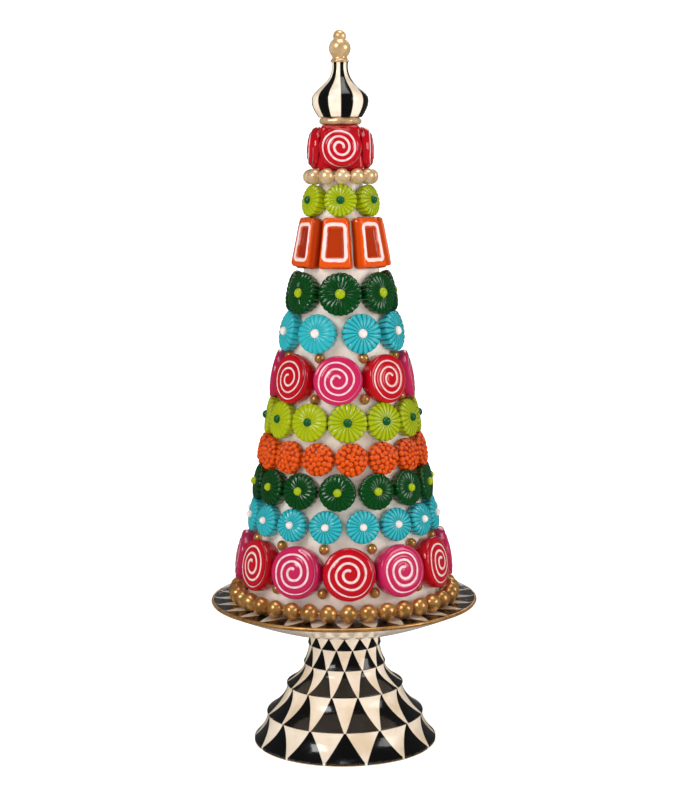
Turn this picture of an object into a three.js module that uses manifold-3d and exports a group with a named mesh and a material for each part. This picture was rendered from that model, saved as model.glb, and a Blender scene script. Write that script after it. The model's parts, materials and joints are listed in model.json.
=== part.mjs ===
// A candy tree of glazed sweets on a slender cone, standing on its own footed plate.
// Millimetres, +Z up. The front of the tree faces -Y. The origin is the middle of the
// foot's flat underside. The lower rows of sweets and the small gold beads are of one
// piece with the cone, and every other sweet is a piece of its own, seated on the cone.
import * as THREE from 'three';
import { mergeVertices } from 'three/addons/utils/BufferGeometryUtils.js';
import Module from 'manifold-3d';

const wasm = await Module();
wasm.setup();

// ---- Driving dimensions ----

const SEAT_GAP = 0.4;

const FOOT = {
  rimRadius: 74.5,
  rimHeight: 3,
  // Lip of each flared bell above the rim, from the lowest up to the plate's neck.
  lips: [
    { radius: 64.1, height: 24.5 },
    { radius: 47.7, height: 48.1 },
    { radius: 33.4, height: 66 },
    { radius: 29.8, height: 81.7 },
  ],
  stepsPerBell: 3,
};

const PLATE = {
  neckRadius: 29.5,
  neckHeight: 90.6,
  radius: 108,
  rimLow: 117.4,
  rimTop: 120,
  rimSlope: 0.4,
  rimWidth: 5,
  floor: 119,
  belly: 2.2,
  dishSteps: 2,
};

// The cone's side falls in by its taper for each millimetre of height, and ends in a round collar
// that carries the upper ring of beads.
const CONE = {
  foot: PLATE.floor + SEAT_GAP,
  radius: 79.5,
  taper: 0.185,
  shoulder: 452,
  collarFoot: 455,
  collar: 17.2,
  top: 463.6,
};
const LEAN = Math.atan(CONE.taper);

// The crown's core is drawn in at its foot, inside the ring of beads, and at its top.
const CROWN = {
  foot: 464,
  hip: 467.6,
  brow: 497.2,
  top: 500,
  footInset: 2,
  topInset: 1.6,
  height: 482.8,
  radius: 17,
  taper: 0.07,
  discs: 4,
  discDiameter: 34,
  cornerCut: 4,
  proud: 9.4,
};

const COLLAR = { foot: 500.3, top: 506.3, radius: 17.2, bevel: 1.6 };
const ONION = {
  foot: 506.6,
  top: 549,
  footRadius: 17.2,
  neckRadius: 6.5,
  // Control points of the side's curve, as radius and height.
  bulge: [34.6, 531],
  waist: [3.8, 525.9],
  steps: 8,
};
const KNOB = {
  foot: 549.3,
  cupRadius: 7.5,
  cupLip: 1.7,
  ballHeight: 560,
  ballRadius: 8.6,
  tipHeight: 569.3,
  tipRadius: 5.2,
};

const UPPER_BEADS = { count: 12, ringRadius: 23.9, height: 460, diameter: 12.4, phase: 3 };
const BASE_BEADS = { count: 36, ringRadius: 87.3, height: 126.3, diameter: 14, phase: -7.65 };
const LINK_DIAMETER = 2.4;
// A small bead's middle stands off the cone by this share of its radius.
const SMALL_BEAD = { diameter: 8.3, off: 0.5, swell: 1.15 };

const COLOURS = {
  cream: 0xe8d8c4,
  gold: 0xbd9660,
  red: 0xbe0f28,
  pink: 0xd7326e,
  lime: 0xa8c020,
  green: 0x055a26,
  turquoise: 0x3cbcc8,
  orange: 0xea5c1c,
  ivory: 0xe6d6bf,
};

// Rows of sweets. The height is that of the crown's middle, proud is how far it stands off
// the cone, and the phase is the first sweet's angle from the front, in degrees.
const SEATED_ROWS = [
  { name: 'lime_candy', make: flutedCandy, colours: ['lime'],
    count: 6, height: 442.3, diameter: 25.4, proud: 12.7, phase: -0.75 },
  { name: 'orange_block', make: blockCandy, colours: ['orange'],
    count: 7, height: 409.1, diameter: 27.2, proud: 9.4, phase: -7.7 },
  { name: 'green_candy', make: flutedCandy, colours: ['green'],
    count: 7, height: 370, diameter: 33.4, proud: 12.2, phase: -1.5 },
  { name: 'turquoise_candy', make: flutedCandy, colours: ['turquoise'],
    count: 8, height: 339.5, diameter: 31.2, proud: 13, phase: 19.6 },
  { name: 'swirl_upper', make: discCandy, colours: ['pink', 'red'],
    count: 8, height: 303.5, diameter: 38.8, proud: 10.9, phase: -3.6 },
  { name: 'swirl_lower', make: discCandy, colours: ['red', 'pink'],
    count: 12, height: 156.8, diameter: 41, proud: 13.8, phase: 3 },
];

const FUSED_ROWS = [
  { make: lowFlutedCandy, count: 12, height: 271.3, diameter: 30.4, proud: 13, phase: 3.7 },
  { make: berryCandy, count: 15, height: 243.2, diameter: 26.2, proud: 11.6, phase: 6.1 },
  { make: lowFlutedCandy, count: 14, height: 218.5, diameter: 28.6, proud: 13.7, phase: -3.5 },
  { make: lowFlutedCandy, count: 16, height: 192.1, diameter: 26, proud: 13.2, phase: 11.8 },
];

const SMALL_BEAD_ROWS = [
  { count: 8, height: 319, phase: 22 },
  { count: 8, height: 287.3, phase: 20 },
  { count: 12, height: 173.2, phase: -12.1 },
  { count: 12, height: 139.6, phase: -12.1 },
];

const BLOCK = {
  height: 40.4,
  topWidth: 20.4,
  bevel: 1.8,
  // How much narrower each side is at the seat than at the face.
  taper: 3.2,
  corner: 2.5,
  // The pocket's half size, and how much wider than that each side is at its foot.
  pocketHalf: [7.1, 12.5],
  pocketFlare: 0.7,
  pocketDepth: 2.4,
  pocketDraft: 0.86,
};

// A fluted sweet: its seat, widest girth and shoulder, as shares of its radius and its proud
// height, how far each flute is drawn in, and the dot on its crown.
const FLUTED = {
  seat: 0.8,
  girthAt: 0.55,
  shoulder: 0.74,
  shoulderAt: 0.86,
  flute: 0.08,
  dot: 0.3,
  dotRise: 1.6,
};
const DISC = { seat: 0.9, girthAt: 0.55, shoulder: 0.93, shoulderAt: 0.86, dome: 1.04 };
// The crown's discs are rounder, and widest near their seats.
const CROWN_DISC = { seat: 0.98, girthAt: 0.1, shoulder: 0.81, shoulderAt: 0.7, dome: 1 };
const BERRY = { seat: 0.85, girthAt: 0.5, girthLump: 0.1, shoulder: 0.78, shoulderAt: 0.8, lump: 0.16 };

// Sides of round things, kept low because the fine surface is made elsewhere.
const SIDES = { stand: 28, cone: 24, finial: 16, candy: 12, lowCandy: 10, berry: 8, disc: 12, bead: 6 };
const BEAD_SECTIONS = 3;
// How far the sweets that are of one piece with the cone reach into it.
const SINK = 2;
// A seat is hollowed by this much at its middle, so that its flats stay clear of the round cone.
const SEAT_HOLLOW = 1.3;
const SLIDE_STEPS = 12;
const SIZE_SPREAD = 0.012;
const SPIN_KIND = 3;

// ---- Solids ----

// A closed geometry with its shared corners merged and its empty triangles dropped.
function weld(geometry) {
  geometry.deleteAttribute('normal');
  geometry.deleteAttribute('uv');
  const merged = mergeVertices(geometry, 1e-4);
  const index = [...merged.index.array];
  const kept = [];
  for (let i = 0; i < index.length; i += 3) {
    const [a, b, c] = index.slice(i, i + 3);
    if (a !== b && b !== c && c !== a) kept.push(a, b, c);
  }
  merged.setIndex(kept);
  return merged;
}

function toSolid(geometry) {
  const welded = weld(geometry);
  return new wasm.Manifold(new wasm.Mesh({
    numProp: 3,
    vertProperties: new Float32Array(welded.attributes.position.array),
    triVerts: new Uint32Array(welded.index.array),
  }));
}

function toGeometry(solid) {
  const mesh = solid.getMesh();
  const geometry = new THREE.BufferGeometry();
  geometry.setAttribute('position', new THREE.BufferAttribute(mesh.vertProperties, 3));
  geometry.setIndex(new THREE.BufferAttribute(mesh.triVerts, 1));
  return geometry;
}

// A turned solid from [radius, height] points that run up from the axis and back to it.
function turned(points, sides) {
  const profile = points.map(([radius, height]) => new THREE.Vector2(radius, height));
  return weld(new THREE.LatheGeometry(profile, sides).rotateX(Math.PI / 2));
}

// A closed skin over rings of points, from the lowest ring up. A ring of one point is a tip.
function skin(rings) {
  const starts = [];
  const points = [];
  for (const ring of rings) {
    starts.push(points.length);
    points.push(...ring);
  }
  const index = [];
  const first = rings[0];
  for (let i = 1; i < first.length - 1; i += 1) index.push(0, i + 1, i);
  for (let level = 0; level < rings.length - 1; level += 1) {
    stitch(index, starts[level], rings[level].length, starts[level + 1], rings[level + 1].length);
  }
  const last = rings.length - 1;
  const top = starts[last];
  for (let i = 1; i < rings[last].length - 1; i += 1) index.push(top, top + i, top + i + 1);
  const geometry = new THREE.BufferGeometry().setFromPoints(points);
  geometry.setIndex(index);
  return geometry;
}

// Triangles between two rings that start at the same angle and may differ in count.
function stitch(index, lower, lowerCount, upper, upperCount) {
  const lowerSteps = lowerCount > 1 ? lowerCount : 0;
  const upperSteps = upperCount > 1 ? upperCount : 0;
  let i = 0;
  let j = 0;
  while (i < lowerSteps || j < upperSteps) {
    const a = lower + (i % lowerCount);
    const b = upper + (j % upperCount);
    const lowerIsBehind = (i + 0.5) / lowerSteps <= (j + 0.5) / upperSteps;
    if (i < lowerSteps && (j >= upperSteps || lowerIsBehind)) {
      i += 1;
      index.push(a, lower + (i % lowerCount), b);
    } else {
      j += 1;
      index.push(a, upper + (j % upperCount), b);
    }
  }
}

// A ring of points round +Z, where depth is how far every other point is drawn in.
function ring(radius, height, count, depth = 0) {
  return Array.from({ length: count }, (_, i) => {
    const angle = (2 * Math.PI * i) / count;
    const reach = radius * (i % 2 === 0 ? 1 : 1 - depth);
    return new THREE.Vector3(reach * Math.cos(angle), reach * Math.sin(angle), height);
  });
}

// Points on an arc about a centre on the axis, by angle above the horizontal in degrees.
function arc(centreHeight, radius, from, to, steps) {
  return Array.from({ length: steps + 1 }, (_, i) => {
    const angle = THREE.MathUtils.degToRad(from + ((to - from) * i) / steps);
    return [radius * Math.cos(angle), centreHeight + radius * Math.sin(angle)];
  });
}

// A small unevenness between -1 and 1 that is the same each time for the same piece.
function unevenness(index, kind) {
  return Math.sin(12.9898 * (index + 1) + 4.1414 * kind);
}

// ---- Sweets, as rings of points about +Z: the seat's middle, its edge, and on to the crown ----

function domedCandy(radius, proud, sides) {
  return [
    [new THREE.Vector3()],
    ring(radius * FLUTED.seat, 0, sides, FLUTED.flute),
    ring(radius, proud * FLUTED.girthAt, sides, FLUTED.flute),
    ring(radius * FLUTED.shoulder, proud * FLUTED.shoulderAt, sides, FLUTED.flute),
    ring(radius * FLUTED.dot, proud - FLUTED.dotRise, sides / 2),
    [new THREE.Vector3(0, 0, proud)],
  ];
}

function flutedCandy(radius, proud) {
  return domedCandy(radius, proud, SIDES.candy);
}

function lowFlutedCandy(radius, proud) {
  return domedCandy(radius, proud, SIDES.lowCandy);
}

function discCandy(radius, proud, shape = DISC) {
  return [
    [new THREE.Vector3()],
    ring(radius * shape.seat, 0, SIDES.disc),
    ring(radius, proud * shape.girthAt, SIDES.disc),
    ring(radius * shape.shoulder, proud * shape.shoulderAt, SIDES.disc),
    [new THREE.Vector3(0, 0, proud * shape.dome)],
  ];
}

function berryCandy(radius, proud) {
  return [
    [new THREE.Vector3()],
    ring(radius * BERRY.seat, 0, SIDES.berry),
    ring(radius, proud * BERRY.girthAt, SIDES.berry, BERRY.girthLump),
    ring(radius * BERRY.shoulder, proud * BERRY.shoulderAt, SIDES.berry, BERRY.lump),
    [new THREE.Vector3(0, 0, proud)],
  ];
}

// A block's outline, wider at the foot, drawn in by an inset, with its four corners cut.
function blockOutline(footWidth, inset, height) {
  const foot = footWidth / 2 - inset;
  const top = BLOCK.topWidth / 2 - inset;
  const half = BLOCK.height / 2 - inset;
  const cut = BLOCK.corner;
  const rightSide = [[foot - cut, -half], [foot, -half + cut], [top, half - cut], [top - cut, half]];
  const leftSide = rightSide.map(([x, y]) => [-x, y]).reverse();
  const corners = [...rightSide, [0, half], ...leftSide, [0, -half]];
  return corners.map(([x, y]) => new THREE.Vector3(x, y, height));
}

function pocketOutline(height, share) {
  const [x, y] = BLOCK.pocketHalf;
  const foot = x + BLOCK.pocketFlare;
  const top = x - BLOCK.pocketFlare;
  const corners = [[foot, -y], [top, y], [-top, y], [-foot, -y]];
  return corners.map(([px, py]) => new THREE.Vector3(px * share, py * share, height));
}

function blockCandy(radius, proud) {
  const footWidth = radius * 2;
  return [
    [new THREE.Vector3()],
    blockOutline(footWidth, BLOCK.taper, 0),
    blockOutline(footWidth, 0, proud - BLOCK.bevel),
    blockOutline(footWidth, BLOCK.bevel, proud),
    pocketOutline(proud, 1),
    pocketOutline(proud - BLOCK.pocketDepth, BLOCK.pocketDraft),
  ];
}

// ---- Placing ----

function coneRadius(height) {
  return CONE.radius - CONE.taper * (height - CONE.foot);
}

// Slides a point along a direction until it lies off the cone's surface by the gap.
function slideToCone(point, direction, gap) {
  const slid = point.clone();
  for (let i = 0; i < SLIDE_STEPS; i += 1) {
    slid.addScaledVector(direction, coneRadius(slid.z) + gap - Math.hypot(slid.x, slid.y));
  }
  return slid;
}

// Turns rings built about +Z to face -Y, square to a side with a lean, with the crown at a height.
function faceFront(rings, { height, proud }, radiusAt, lean, gap, spin) {
  const seatHeight = height - proud * Math.sin(lean);
  const place = new THREE.Matrix4()
    .makeTranslation(0, -radiusAt(seatHeight) - gap, seatHeight)
    .multiply(new THREE.Matrix4().makeRotationX(Math.PI / 2 - lean))
    .multiply(new THREE.Matrix4().makeRotationZ(spin));
  return rings.map((points) => points.map((point) => point.applyMatrix4(place)));
}

// Fits a sweet's seat to the cone's surface. A negative gap sinks the seat into it.
function seated(rings, row, spin, gap = SEAT_GAP) {
  const outward = new THREE.Vector3(0, -Math.cos(LEAN), Math.sin(LEAN));
  const [[middle], edge, ...crown] = faceFront(rings, row, coneRadius, LEAN, 0, spin);
  const hollow = gap > 0 ? SEAT_HOLLOW : 0;
  return skin([
    [slideToCone(middle, outward, gap + hollow)],
    edge.map((point) => slideToCone(point, outward, gap)),
    ...crown,
  ]);
}

function azimuth(row, index) {
  return THREE.MathUtils.degToRad(row.phase + (360 * index) / row.count);
}

// One sweet of a row, faced to the front.
function rowCandy(row, index, kind, gap) {
  const uneven = 1 + SIZE_SPREAD * unevenness(index, kind);
  const spin = row.make === blockCandy ? 0 : unevenness(index, kind + SPIN_KIND);
  return seated(row.make(row.diameter * 0.5 * uneven, row.proud), row, spin, gap);
}

// ---- Pieces ----

function standGeometry() {
  const outline = [[0, 0], [FOOT.rimRadius, 0]];
  let lower = { radius: FOOT.rimRadius, height: FOOT.rimHeight };
  for (const upper of FOOT.lips) {
    for (let i = 0; i < FOOT.stepsPerBell; i += 1) {
      const flare = 1 - i / FOOT.stepsPerBell;
      outline.push([
        upper.radius + (lower.radius - upper.radius) * flare ** 2,
        upper.height + (lower.height - upper.height) * flare,
      ]);
    }
    lower = upper;
  }
  outline.push([PLATE.neckRadius, PLATE.neckHeight]);
  for (let i = 1; i <= PLATE.dishSteps; i += 1) {
    const reach = i / PLATE.dishSteps;
    const sag = PLATE.belly * Math.sin(Math.PI * reach);
    outline.push([
      PLATE.neckRadius + (PLATE.radius - PLATE.neckRadius) * reach,
      PLATE.neckHeight + (PLATE.rimLow - PLATE.neckHeight) * reach - sag,
    ]);
  }
  outline.push([PLATE.radius - PLATE.rimSlope, PLATE.rimTop]);
  outline.push([PLATE.radius - PLATE.rimWidth, PLATE.floor], [0, PLATE.floor]);
  return turned(outline, SIDES.stand);
}

function crownRadius(height) {
  return CROWN.radius - CROWN.taper * (height - CROWN.height);
}

function coneGeometry() {
  let body = toSolid(turned([
    [0, CONE.foot],
    [CONE.radius, CONE.foot],
    [coneRadius(CONE.shoulder), CONE.shoulder],
    [CONE.collar, CONE.collarFoot],
    [CONE.collar, CONE.top],
    [0, CONE.top],
  ], SIDES.cone));
  FUSED_ROWS.forEach((row, kind) => {
    for (let i = 0; i < row.count; i += 1) {
      body = body.add(toSolid(rowCandy(row, i, kind, -SINK).rotateZ(azimuth(row, i))));
    }
  });
  const beadRadius = SMALL_BEAD.diameter / 2;
  for (const row of SMALL_BEAD_ROWS) {
    for (let i = 0; i < row.count; i += 1) {
      // Eight faces stand for a bead, swollen a little so that they hold its bulk.
      const bead = new THREE.OctahedronGeometry(beadRadius * SMALL_BEAD.swell, 0);
      bead.translate(0, -coneRadius(row.height) - beadRadius * SMALL_BEAD.off, row.height);
      body = body.add(toSolid(bead.rotateZ(azimuth(row, i))));
    }
  }
  return toGeometry(body);
}

// The crown's core has a flat for each disc and cut corners between them.
function crownOutline(height, inset = 0) {
  const flat = crownRadius(height) - inset;
  const short = flat - CROWN.cornerCut - inset;
  const corners = [
    [flat, -short], [flat, short], [short, flat], [-short, flat],
    [-flat, short], [-flat, -short], [-short, -flat], [short, -flat],
  ];
  return corners.map(([x, y]) => new THREE.Vector3(x, y, height));
}

// Round beads threaded on a ring and joined by their short links.
function beadString({ count, ringRadius, diameter }) {
  const sections = count * BEAD_SECTIONS;
  const geometry = weld(new THREE.TorusGeometry(ringRadius, diameter / 2, SIDES.bead, sections));
  const place = geometry.attributes.position;
  const beadHalf = (Math.PI * ringRadius) / count;
  const point = new THREE.Vector3();
  for (let i = 0; i < place.count; i += 1) {
    point.fromBufferAttribute(place, i);
    const angle = Math.atan2(point.y, point.x);
    const centre = new THREE.Vector3(ringRadius * Math.cos(angle), ringRadius * Math.sin(angle), 0);
    const turns = (angle / (2 * Math.PI)) * count;
    const along = (turns - Math.floor(turns) - 0.5) * 2 * beadHalf;
    const girth = Math.sqrt(Math.max((diameter / 2) ** 2 - along ** 2, (LINK_DIAMETER / 2) ** 2));
    point.sub(centre).multiplyScalar((2 * girth) / diameter).add(centre);
    place.setXYZ(i, point.x, point.y, point.z);
  }
  return geometry;
}

function collarGeometry() {
  const middle = (COLLAR.foot + COLLAR.top) / 2;
  return turned([
    [0, COLLAR.foot],
    [COLLAR.radius - COLLAR.bevel, COLLAR.foot],
    [COLLAR.radius, middle],
    [COLLAR.radius - COLLAR.bevel, COLLAR.top],
    [0, COLLAR.top],
  ], SIDES.finial);
}

function onionGeometry() {
  const side = new THREE.CubicBezierCurve(
    new THREE.Vector2(ONION.footRadius, ONION.foot),
    new THREE.Vector2(...ONION.bulge),
    new THREE.Vector2(...ONION.waist),
    new THREE.Vector2(ONION.neckRadius, ONION.top),
  );
  const points = side.getPoints(ONION.steps).map((point) => [point.x, point.y]);
  return turned([[0, ONION.foot], ...points, [0, ONION.top]], SIDES.finial);
}

function knobGeometry() {
  return turned([
    [0, KNOB.foot],
    [KNOB.cupRadius - KNOB.cupLip, KNOB.foot],
    [KNOB.cupRadius, KNOB.foot + KNOB.cupLip],
    ...arc(KNOB.ballHeight, KNOB.ballRadius, -48, 62, 4),
    ...arc(KNOB.tipHeight, KNOB.tipRadius, -25, 55, 2),
    [0, KNOB.tipHeight + KNOB.tipRadius],
  ], SIDES.finial);
}

// ---- The tree ----

const tree = new THREE.Group();

function addPiece(name, geometry, colour, finish) {
  const material = new THREE.MeshStandardMaterial({ color: COLOURS[colour], ...finish });
  const mesh = new THREE.Mesh(geometry, material);
  mesh.name = name;
  tree.add(mesh);
  return mesh;
}

const GLAZE = { roughness: 0.15, metalness: 0 };
const SATIN = { roughness: 0.4, metalness: 0 };
const GILT = { roughness: 0.35, metalness: 0.9 };

addPiece('stand', standGeometry(), 'ivory', GLAZE);
addPiece('cone', coneGeometry(), 'cream', SATIN);
addPiece('crown_core', skin([
  crownOutline(CROWN.foot, CROWN.footInset),
  crownOutline(CROWN.hip),
  crownOutline(CROWN.brow),
  crownOutline(CROWN.top, CROWN.topInset),
]), 'red', GLAZE);

for (const [name, beads] of [['base_beads', BASE_BEADS], ['upper_beads', UPPER_BEADS]]) {
  const beadRing = addPiece(name, beadString(beads), 'gold', GILT);
  beadRing.position.z = beads.height;
  beadRing.rotation.z = THREE.MathUtils.degToRad(beads.phase - 90) - Math.PI / beads.count;
}

SEATED_ROWS.forEach((row, kind) => {
  for (let i = 0; i < row.count; i += 1) {
    const colour = row.colours[i % row.colours.length];
    addPiece(`${row.name}_${i + 1}`, rowCandy(row, i, kind), colour, GLAZE).rotation.z = azimuth(row, i);
  }
});

for (let i = 0; i < CROWN.discs; i += 1) {
  const disc = discCandy(CROWN.discDiameter / 2, CROWN.proud, CROWN_DISC);
  const lean = Math.atan(CROWN.taper);
  const geometry = skin(faceFront(disc, CROWN, crownRadius, lean, SEAT_GAP, 0));
  addPiece(`crown_swirl_${i + 1}`, geometry, 'red', GLAZE).rotation.z = (i * 2 * Math.PI) / CROWN.discs;
}

addPiece('finial_collar', collarGeometry(), 'gold', GILT);
addPiece('finial_onion', onionGeometry(), 'ivory', GLAZE);
addPiece('finial_knob', knobGeometry(), 'gold', GILT);

export default tree;
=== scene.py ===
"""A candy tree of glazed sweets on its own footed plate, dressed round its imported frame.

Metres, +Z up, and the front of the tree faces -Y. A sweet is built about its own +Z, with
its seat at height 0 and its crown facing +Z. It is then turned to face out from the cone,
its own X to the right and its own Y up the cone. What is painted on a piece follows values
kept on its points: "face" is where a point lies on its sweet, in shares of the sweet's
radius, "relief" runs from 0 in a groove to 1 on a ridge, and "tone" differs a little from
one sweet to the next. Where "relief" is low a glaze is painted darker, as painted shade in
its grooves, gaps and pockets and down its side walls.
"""

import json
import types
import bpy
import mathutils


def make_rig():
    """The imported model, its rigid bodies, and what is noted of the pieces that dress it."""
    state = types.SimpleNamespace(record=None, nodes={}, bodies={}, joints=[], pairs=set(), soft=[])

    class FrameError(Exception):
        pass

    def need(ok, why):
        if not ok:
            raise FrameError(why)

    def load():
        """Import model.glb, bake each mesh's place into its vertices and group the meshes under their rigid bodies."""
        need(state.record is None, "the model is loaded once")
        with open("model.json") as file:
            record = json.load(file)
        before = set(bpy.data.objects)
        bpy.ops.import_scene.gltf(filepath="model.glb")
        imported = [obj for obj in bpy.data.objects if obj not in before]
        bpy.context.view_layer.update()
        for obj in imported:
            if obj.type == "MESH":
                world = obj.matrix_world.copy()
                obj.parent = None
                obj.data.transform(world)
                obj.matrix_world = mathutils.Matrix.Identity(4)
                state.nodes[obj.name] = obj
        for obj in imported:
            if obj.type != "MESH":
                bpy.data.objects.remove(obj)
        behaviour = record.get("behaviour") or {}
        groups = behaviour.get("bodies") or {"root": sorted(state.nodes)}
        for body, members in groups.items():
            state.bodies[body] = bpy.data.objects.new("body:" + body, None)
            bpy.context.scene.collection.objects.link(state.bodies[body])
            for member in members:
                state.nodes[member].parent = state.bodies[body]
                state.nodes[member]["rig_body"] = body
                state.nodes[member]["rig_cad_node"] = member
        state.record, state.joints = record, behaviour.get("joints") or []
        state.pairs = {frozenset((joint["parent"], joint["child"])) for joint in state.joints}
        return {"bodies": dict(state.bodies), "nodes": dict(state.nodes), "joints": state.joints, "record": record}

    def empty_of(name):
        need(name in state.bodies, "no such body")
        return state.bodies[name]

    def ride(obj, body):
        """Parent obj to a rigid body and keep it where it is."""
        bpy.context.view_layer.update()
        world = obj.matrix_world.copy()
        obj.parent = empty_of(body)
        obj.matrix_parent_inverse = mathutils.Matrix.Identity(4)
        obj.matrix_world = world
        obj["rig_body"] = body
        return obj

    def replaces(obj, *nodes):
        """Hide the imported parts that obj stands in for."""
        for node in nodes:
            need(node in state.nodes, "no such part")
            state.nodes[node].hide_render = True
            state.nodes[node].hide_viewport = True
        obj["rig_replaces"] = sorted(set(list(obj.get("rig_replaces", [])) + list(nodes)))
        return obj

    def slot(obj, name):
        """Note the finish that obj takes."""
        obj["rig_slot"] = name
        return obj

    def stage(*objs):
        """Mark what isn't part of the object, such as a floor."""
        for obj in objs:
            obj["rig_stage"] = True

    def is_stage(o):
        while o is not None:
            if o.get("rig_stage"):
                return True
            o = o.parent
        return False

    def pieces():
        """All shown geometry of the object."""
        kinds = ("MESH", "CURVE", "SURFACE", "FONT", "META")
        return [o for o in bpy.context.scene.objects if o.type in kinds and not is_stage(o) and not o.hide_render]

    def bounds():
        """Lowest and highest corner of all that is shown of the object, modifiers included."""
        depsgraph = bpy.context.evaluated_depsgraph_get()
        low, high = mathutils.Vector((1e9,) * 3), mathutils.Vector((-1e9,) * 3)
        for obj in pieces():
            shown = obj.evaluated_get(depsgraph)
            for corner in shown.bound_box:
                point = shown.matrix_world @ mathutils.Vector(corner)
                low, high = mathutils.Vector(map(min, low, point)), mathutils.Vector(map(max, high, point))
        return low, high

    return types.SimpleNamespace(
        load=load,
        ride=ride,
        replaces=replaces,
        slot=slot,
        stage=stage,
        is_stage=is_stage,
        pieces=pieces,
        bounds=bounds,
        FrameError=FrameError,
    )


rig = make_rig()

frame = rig.load()
CAD_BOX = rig.bounds()

import json
import logging
import math
from collections.abc import Mapping, Sequence
from dataclasses import dataclass, field
from enum import Enum
from typing import Any, Protocol, Union

import bpy
import numpy as np
from mathutils import Matrix, Vector

LOG = logging.getLogger("candy_tree")
SIZE_FILE = "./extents.json"
BODY = "root"
TURN = 2 * math.pi
RIGHT_ANGLE = math.pi / 2

# The curve that a screen's values follow.
SCREEN_FULL = 255
SCREEN_OFFSET = 0.055
SCREEN_POWER = 2.4

# A length under the first counts as nothing, and heights nearer than the second as level.
TINY = 1e-12
LEVEL = 1e-6

Colour = tuple[float, float, float, float]
Sweep = tuple[float, float, int]


def paint(red: int, green: int, blue: int) -> Colour:
    """A colour as the shaders take it.

    Args:
        red: The screen value of red, from 0 to 255.
        green: The screen value of green.
        blue: The screen value of blue.

    Returns:
        The colour in linear light, with full opacity.
    """
    shares = [value / SCREEN_FULL + SCREEN_OFFSET for value in (red, green, blue)]
    linear = [(share / (1 + SCREEN_OFFSET)) ** SCREEN_POWER for share in shares]
    return (linear[0], linear[1], linear[2], 1.0)


# ---- Shader maths ----


class Signal:
    """An output socket that adds Math nodes when it is used in an expression."""

    def __init__(self, graph: "Graph", socket: bpy.types.NodeSocket) -> None:
        """Keeps the socket and the graph that it belongs to.

        Args:
            graph: The material's graph.
            socket: The output socket.
        """
        self.graph = graph
        self.socket = socket

    def other(self, name: str) -> "Signal":
        """Another output of the same node."""
        return Signal(self.graph, pick(self.socket.node.outputs, name))

    def math(self, operation: str, *terms: "Term") -> "Signal":
        """A Math node of the graph."""
        return self.graph.node("Math", {"operation": operation}, dict(enumerate(terms)))

    def __add__(self, term: "Term") -> "Signal":
        """Signal plus term."""
        return self.math("ADD", self, term)

    def __radd__(self, term: "Term") -> "Signal":
        """Term plus signal."""
        return self.math("ADD", term, self)

    def __sub__(self, term: "Term") -> "Signal":
        """Signal less term."""
        return self.math("SUBTRACT", self, term)

    def __rsub__(self, term: "Term") -> "Signal":
        """Term less signal."""
        return self.math("SUBTRACT", term, self)

    def __mul__(self, term: "Term") -> "Signal":
        """Signal times term."""
        return self.math("MULTIPLY", self, term)

    def __rmul__(self, term: "Term") -> "Signal":
        """Term times signal."""
        return self.math("MULTIPLY", term, self)

    def __truediv__(self, term: "Term") -> "Signal":
        """Signal over term."""
        return self.math("DIVIDE", self, term)

    def __rtruediv__(self, term: "Term") -> "Signal":
        """Term over signal."""
        return self.math("DIVIDE", term, self)

    def __abs__(self) -> "Signal":
        """The signal without its sign."""
        return self.math("ABSOLUTE", self)

    def __round__(self) -> "Signal":
        """The nearest whole number."""
        return self.math("ROUND", self)

    def least(self, term: "Term") -> "Signal":
        """The smaller of signal and term."""
        return self.math("MINIMUM", self, term)

    def most(self, term: "Term") -> "Signal":
        """The larger of signal and term."""
        return self.math("MAXIMUM", self, term)

    def root(self) -> "Signal":
        """The square root."""
        return self.math("SQRT", self)

    def part(self) -> "Signal":
        """What is left above the whole number."""
        return self.math("FRACT", self)

    def ramp(self, low: "Term", high: "Term") -> "Signal":
        """A smooth rise from 0 at low to 1 at high.

        Args:
            low: The value where the rise starts.
            high: The value where it ends, which may be below low.

        Returns:
            The rise, between 0 and 1.
        """
        ends = {"Value": self, "From Min": low, "From Max": high}
        return self.graph.node("MapRange", {"interpolation_type": "SMOOTHSTEP"}, ends)


Term = Union[Signal, float]


def pick(sockets: Any, key: Union[str, int]) -> bpy.types.NodeSocket:
    """Finds a socket.

    Args:
        sockets: A node's inputs or outputs.
        key: Its place in the list, its identifier or its name.

    Returns:
        The socket.
    """
    if isinstance(key, int):
        return sockets[key]
    return next((s for s in sockets if s.identifier == key), None) or sockets[key]


@dataclass(frozen=True)
class Cloud:
    """Soft noise that varies a finish.

    Attributes:
        scale: How many clouds there are in a metre.
        amount: How much it adds at most, or how deep it is in metres.
        detail: How many finer layers it has.
    """

    scale: float
    amount: float
    detail: float = 2.0


@dataclass(frozen=True)
class Patches:
    """Soft patches of a paint's second colour.

    Attributes:
        scale: How many patches there are in a metre.
        shaded: The noise at which the second colour is full.
        clear: The noise at which only the first colour shows.
        detail: How many finer layers they have.
    """

    scale: float
    shaded: float
    clear: float
    detail: float = 3.0


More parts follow.
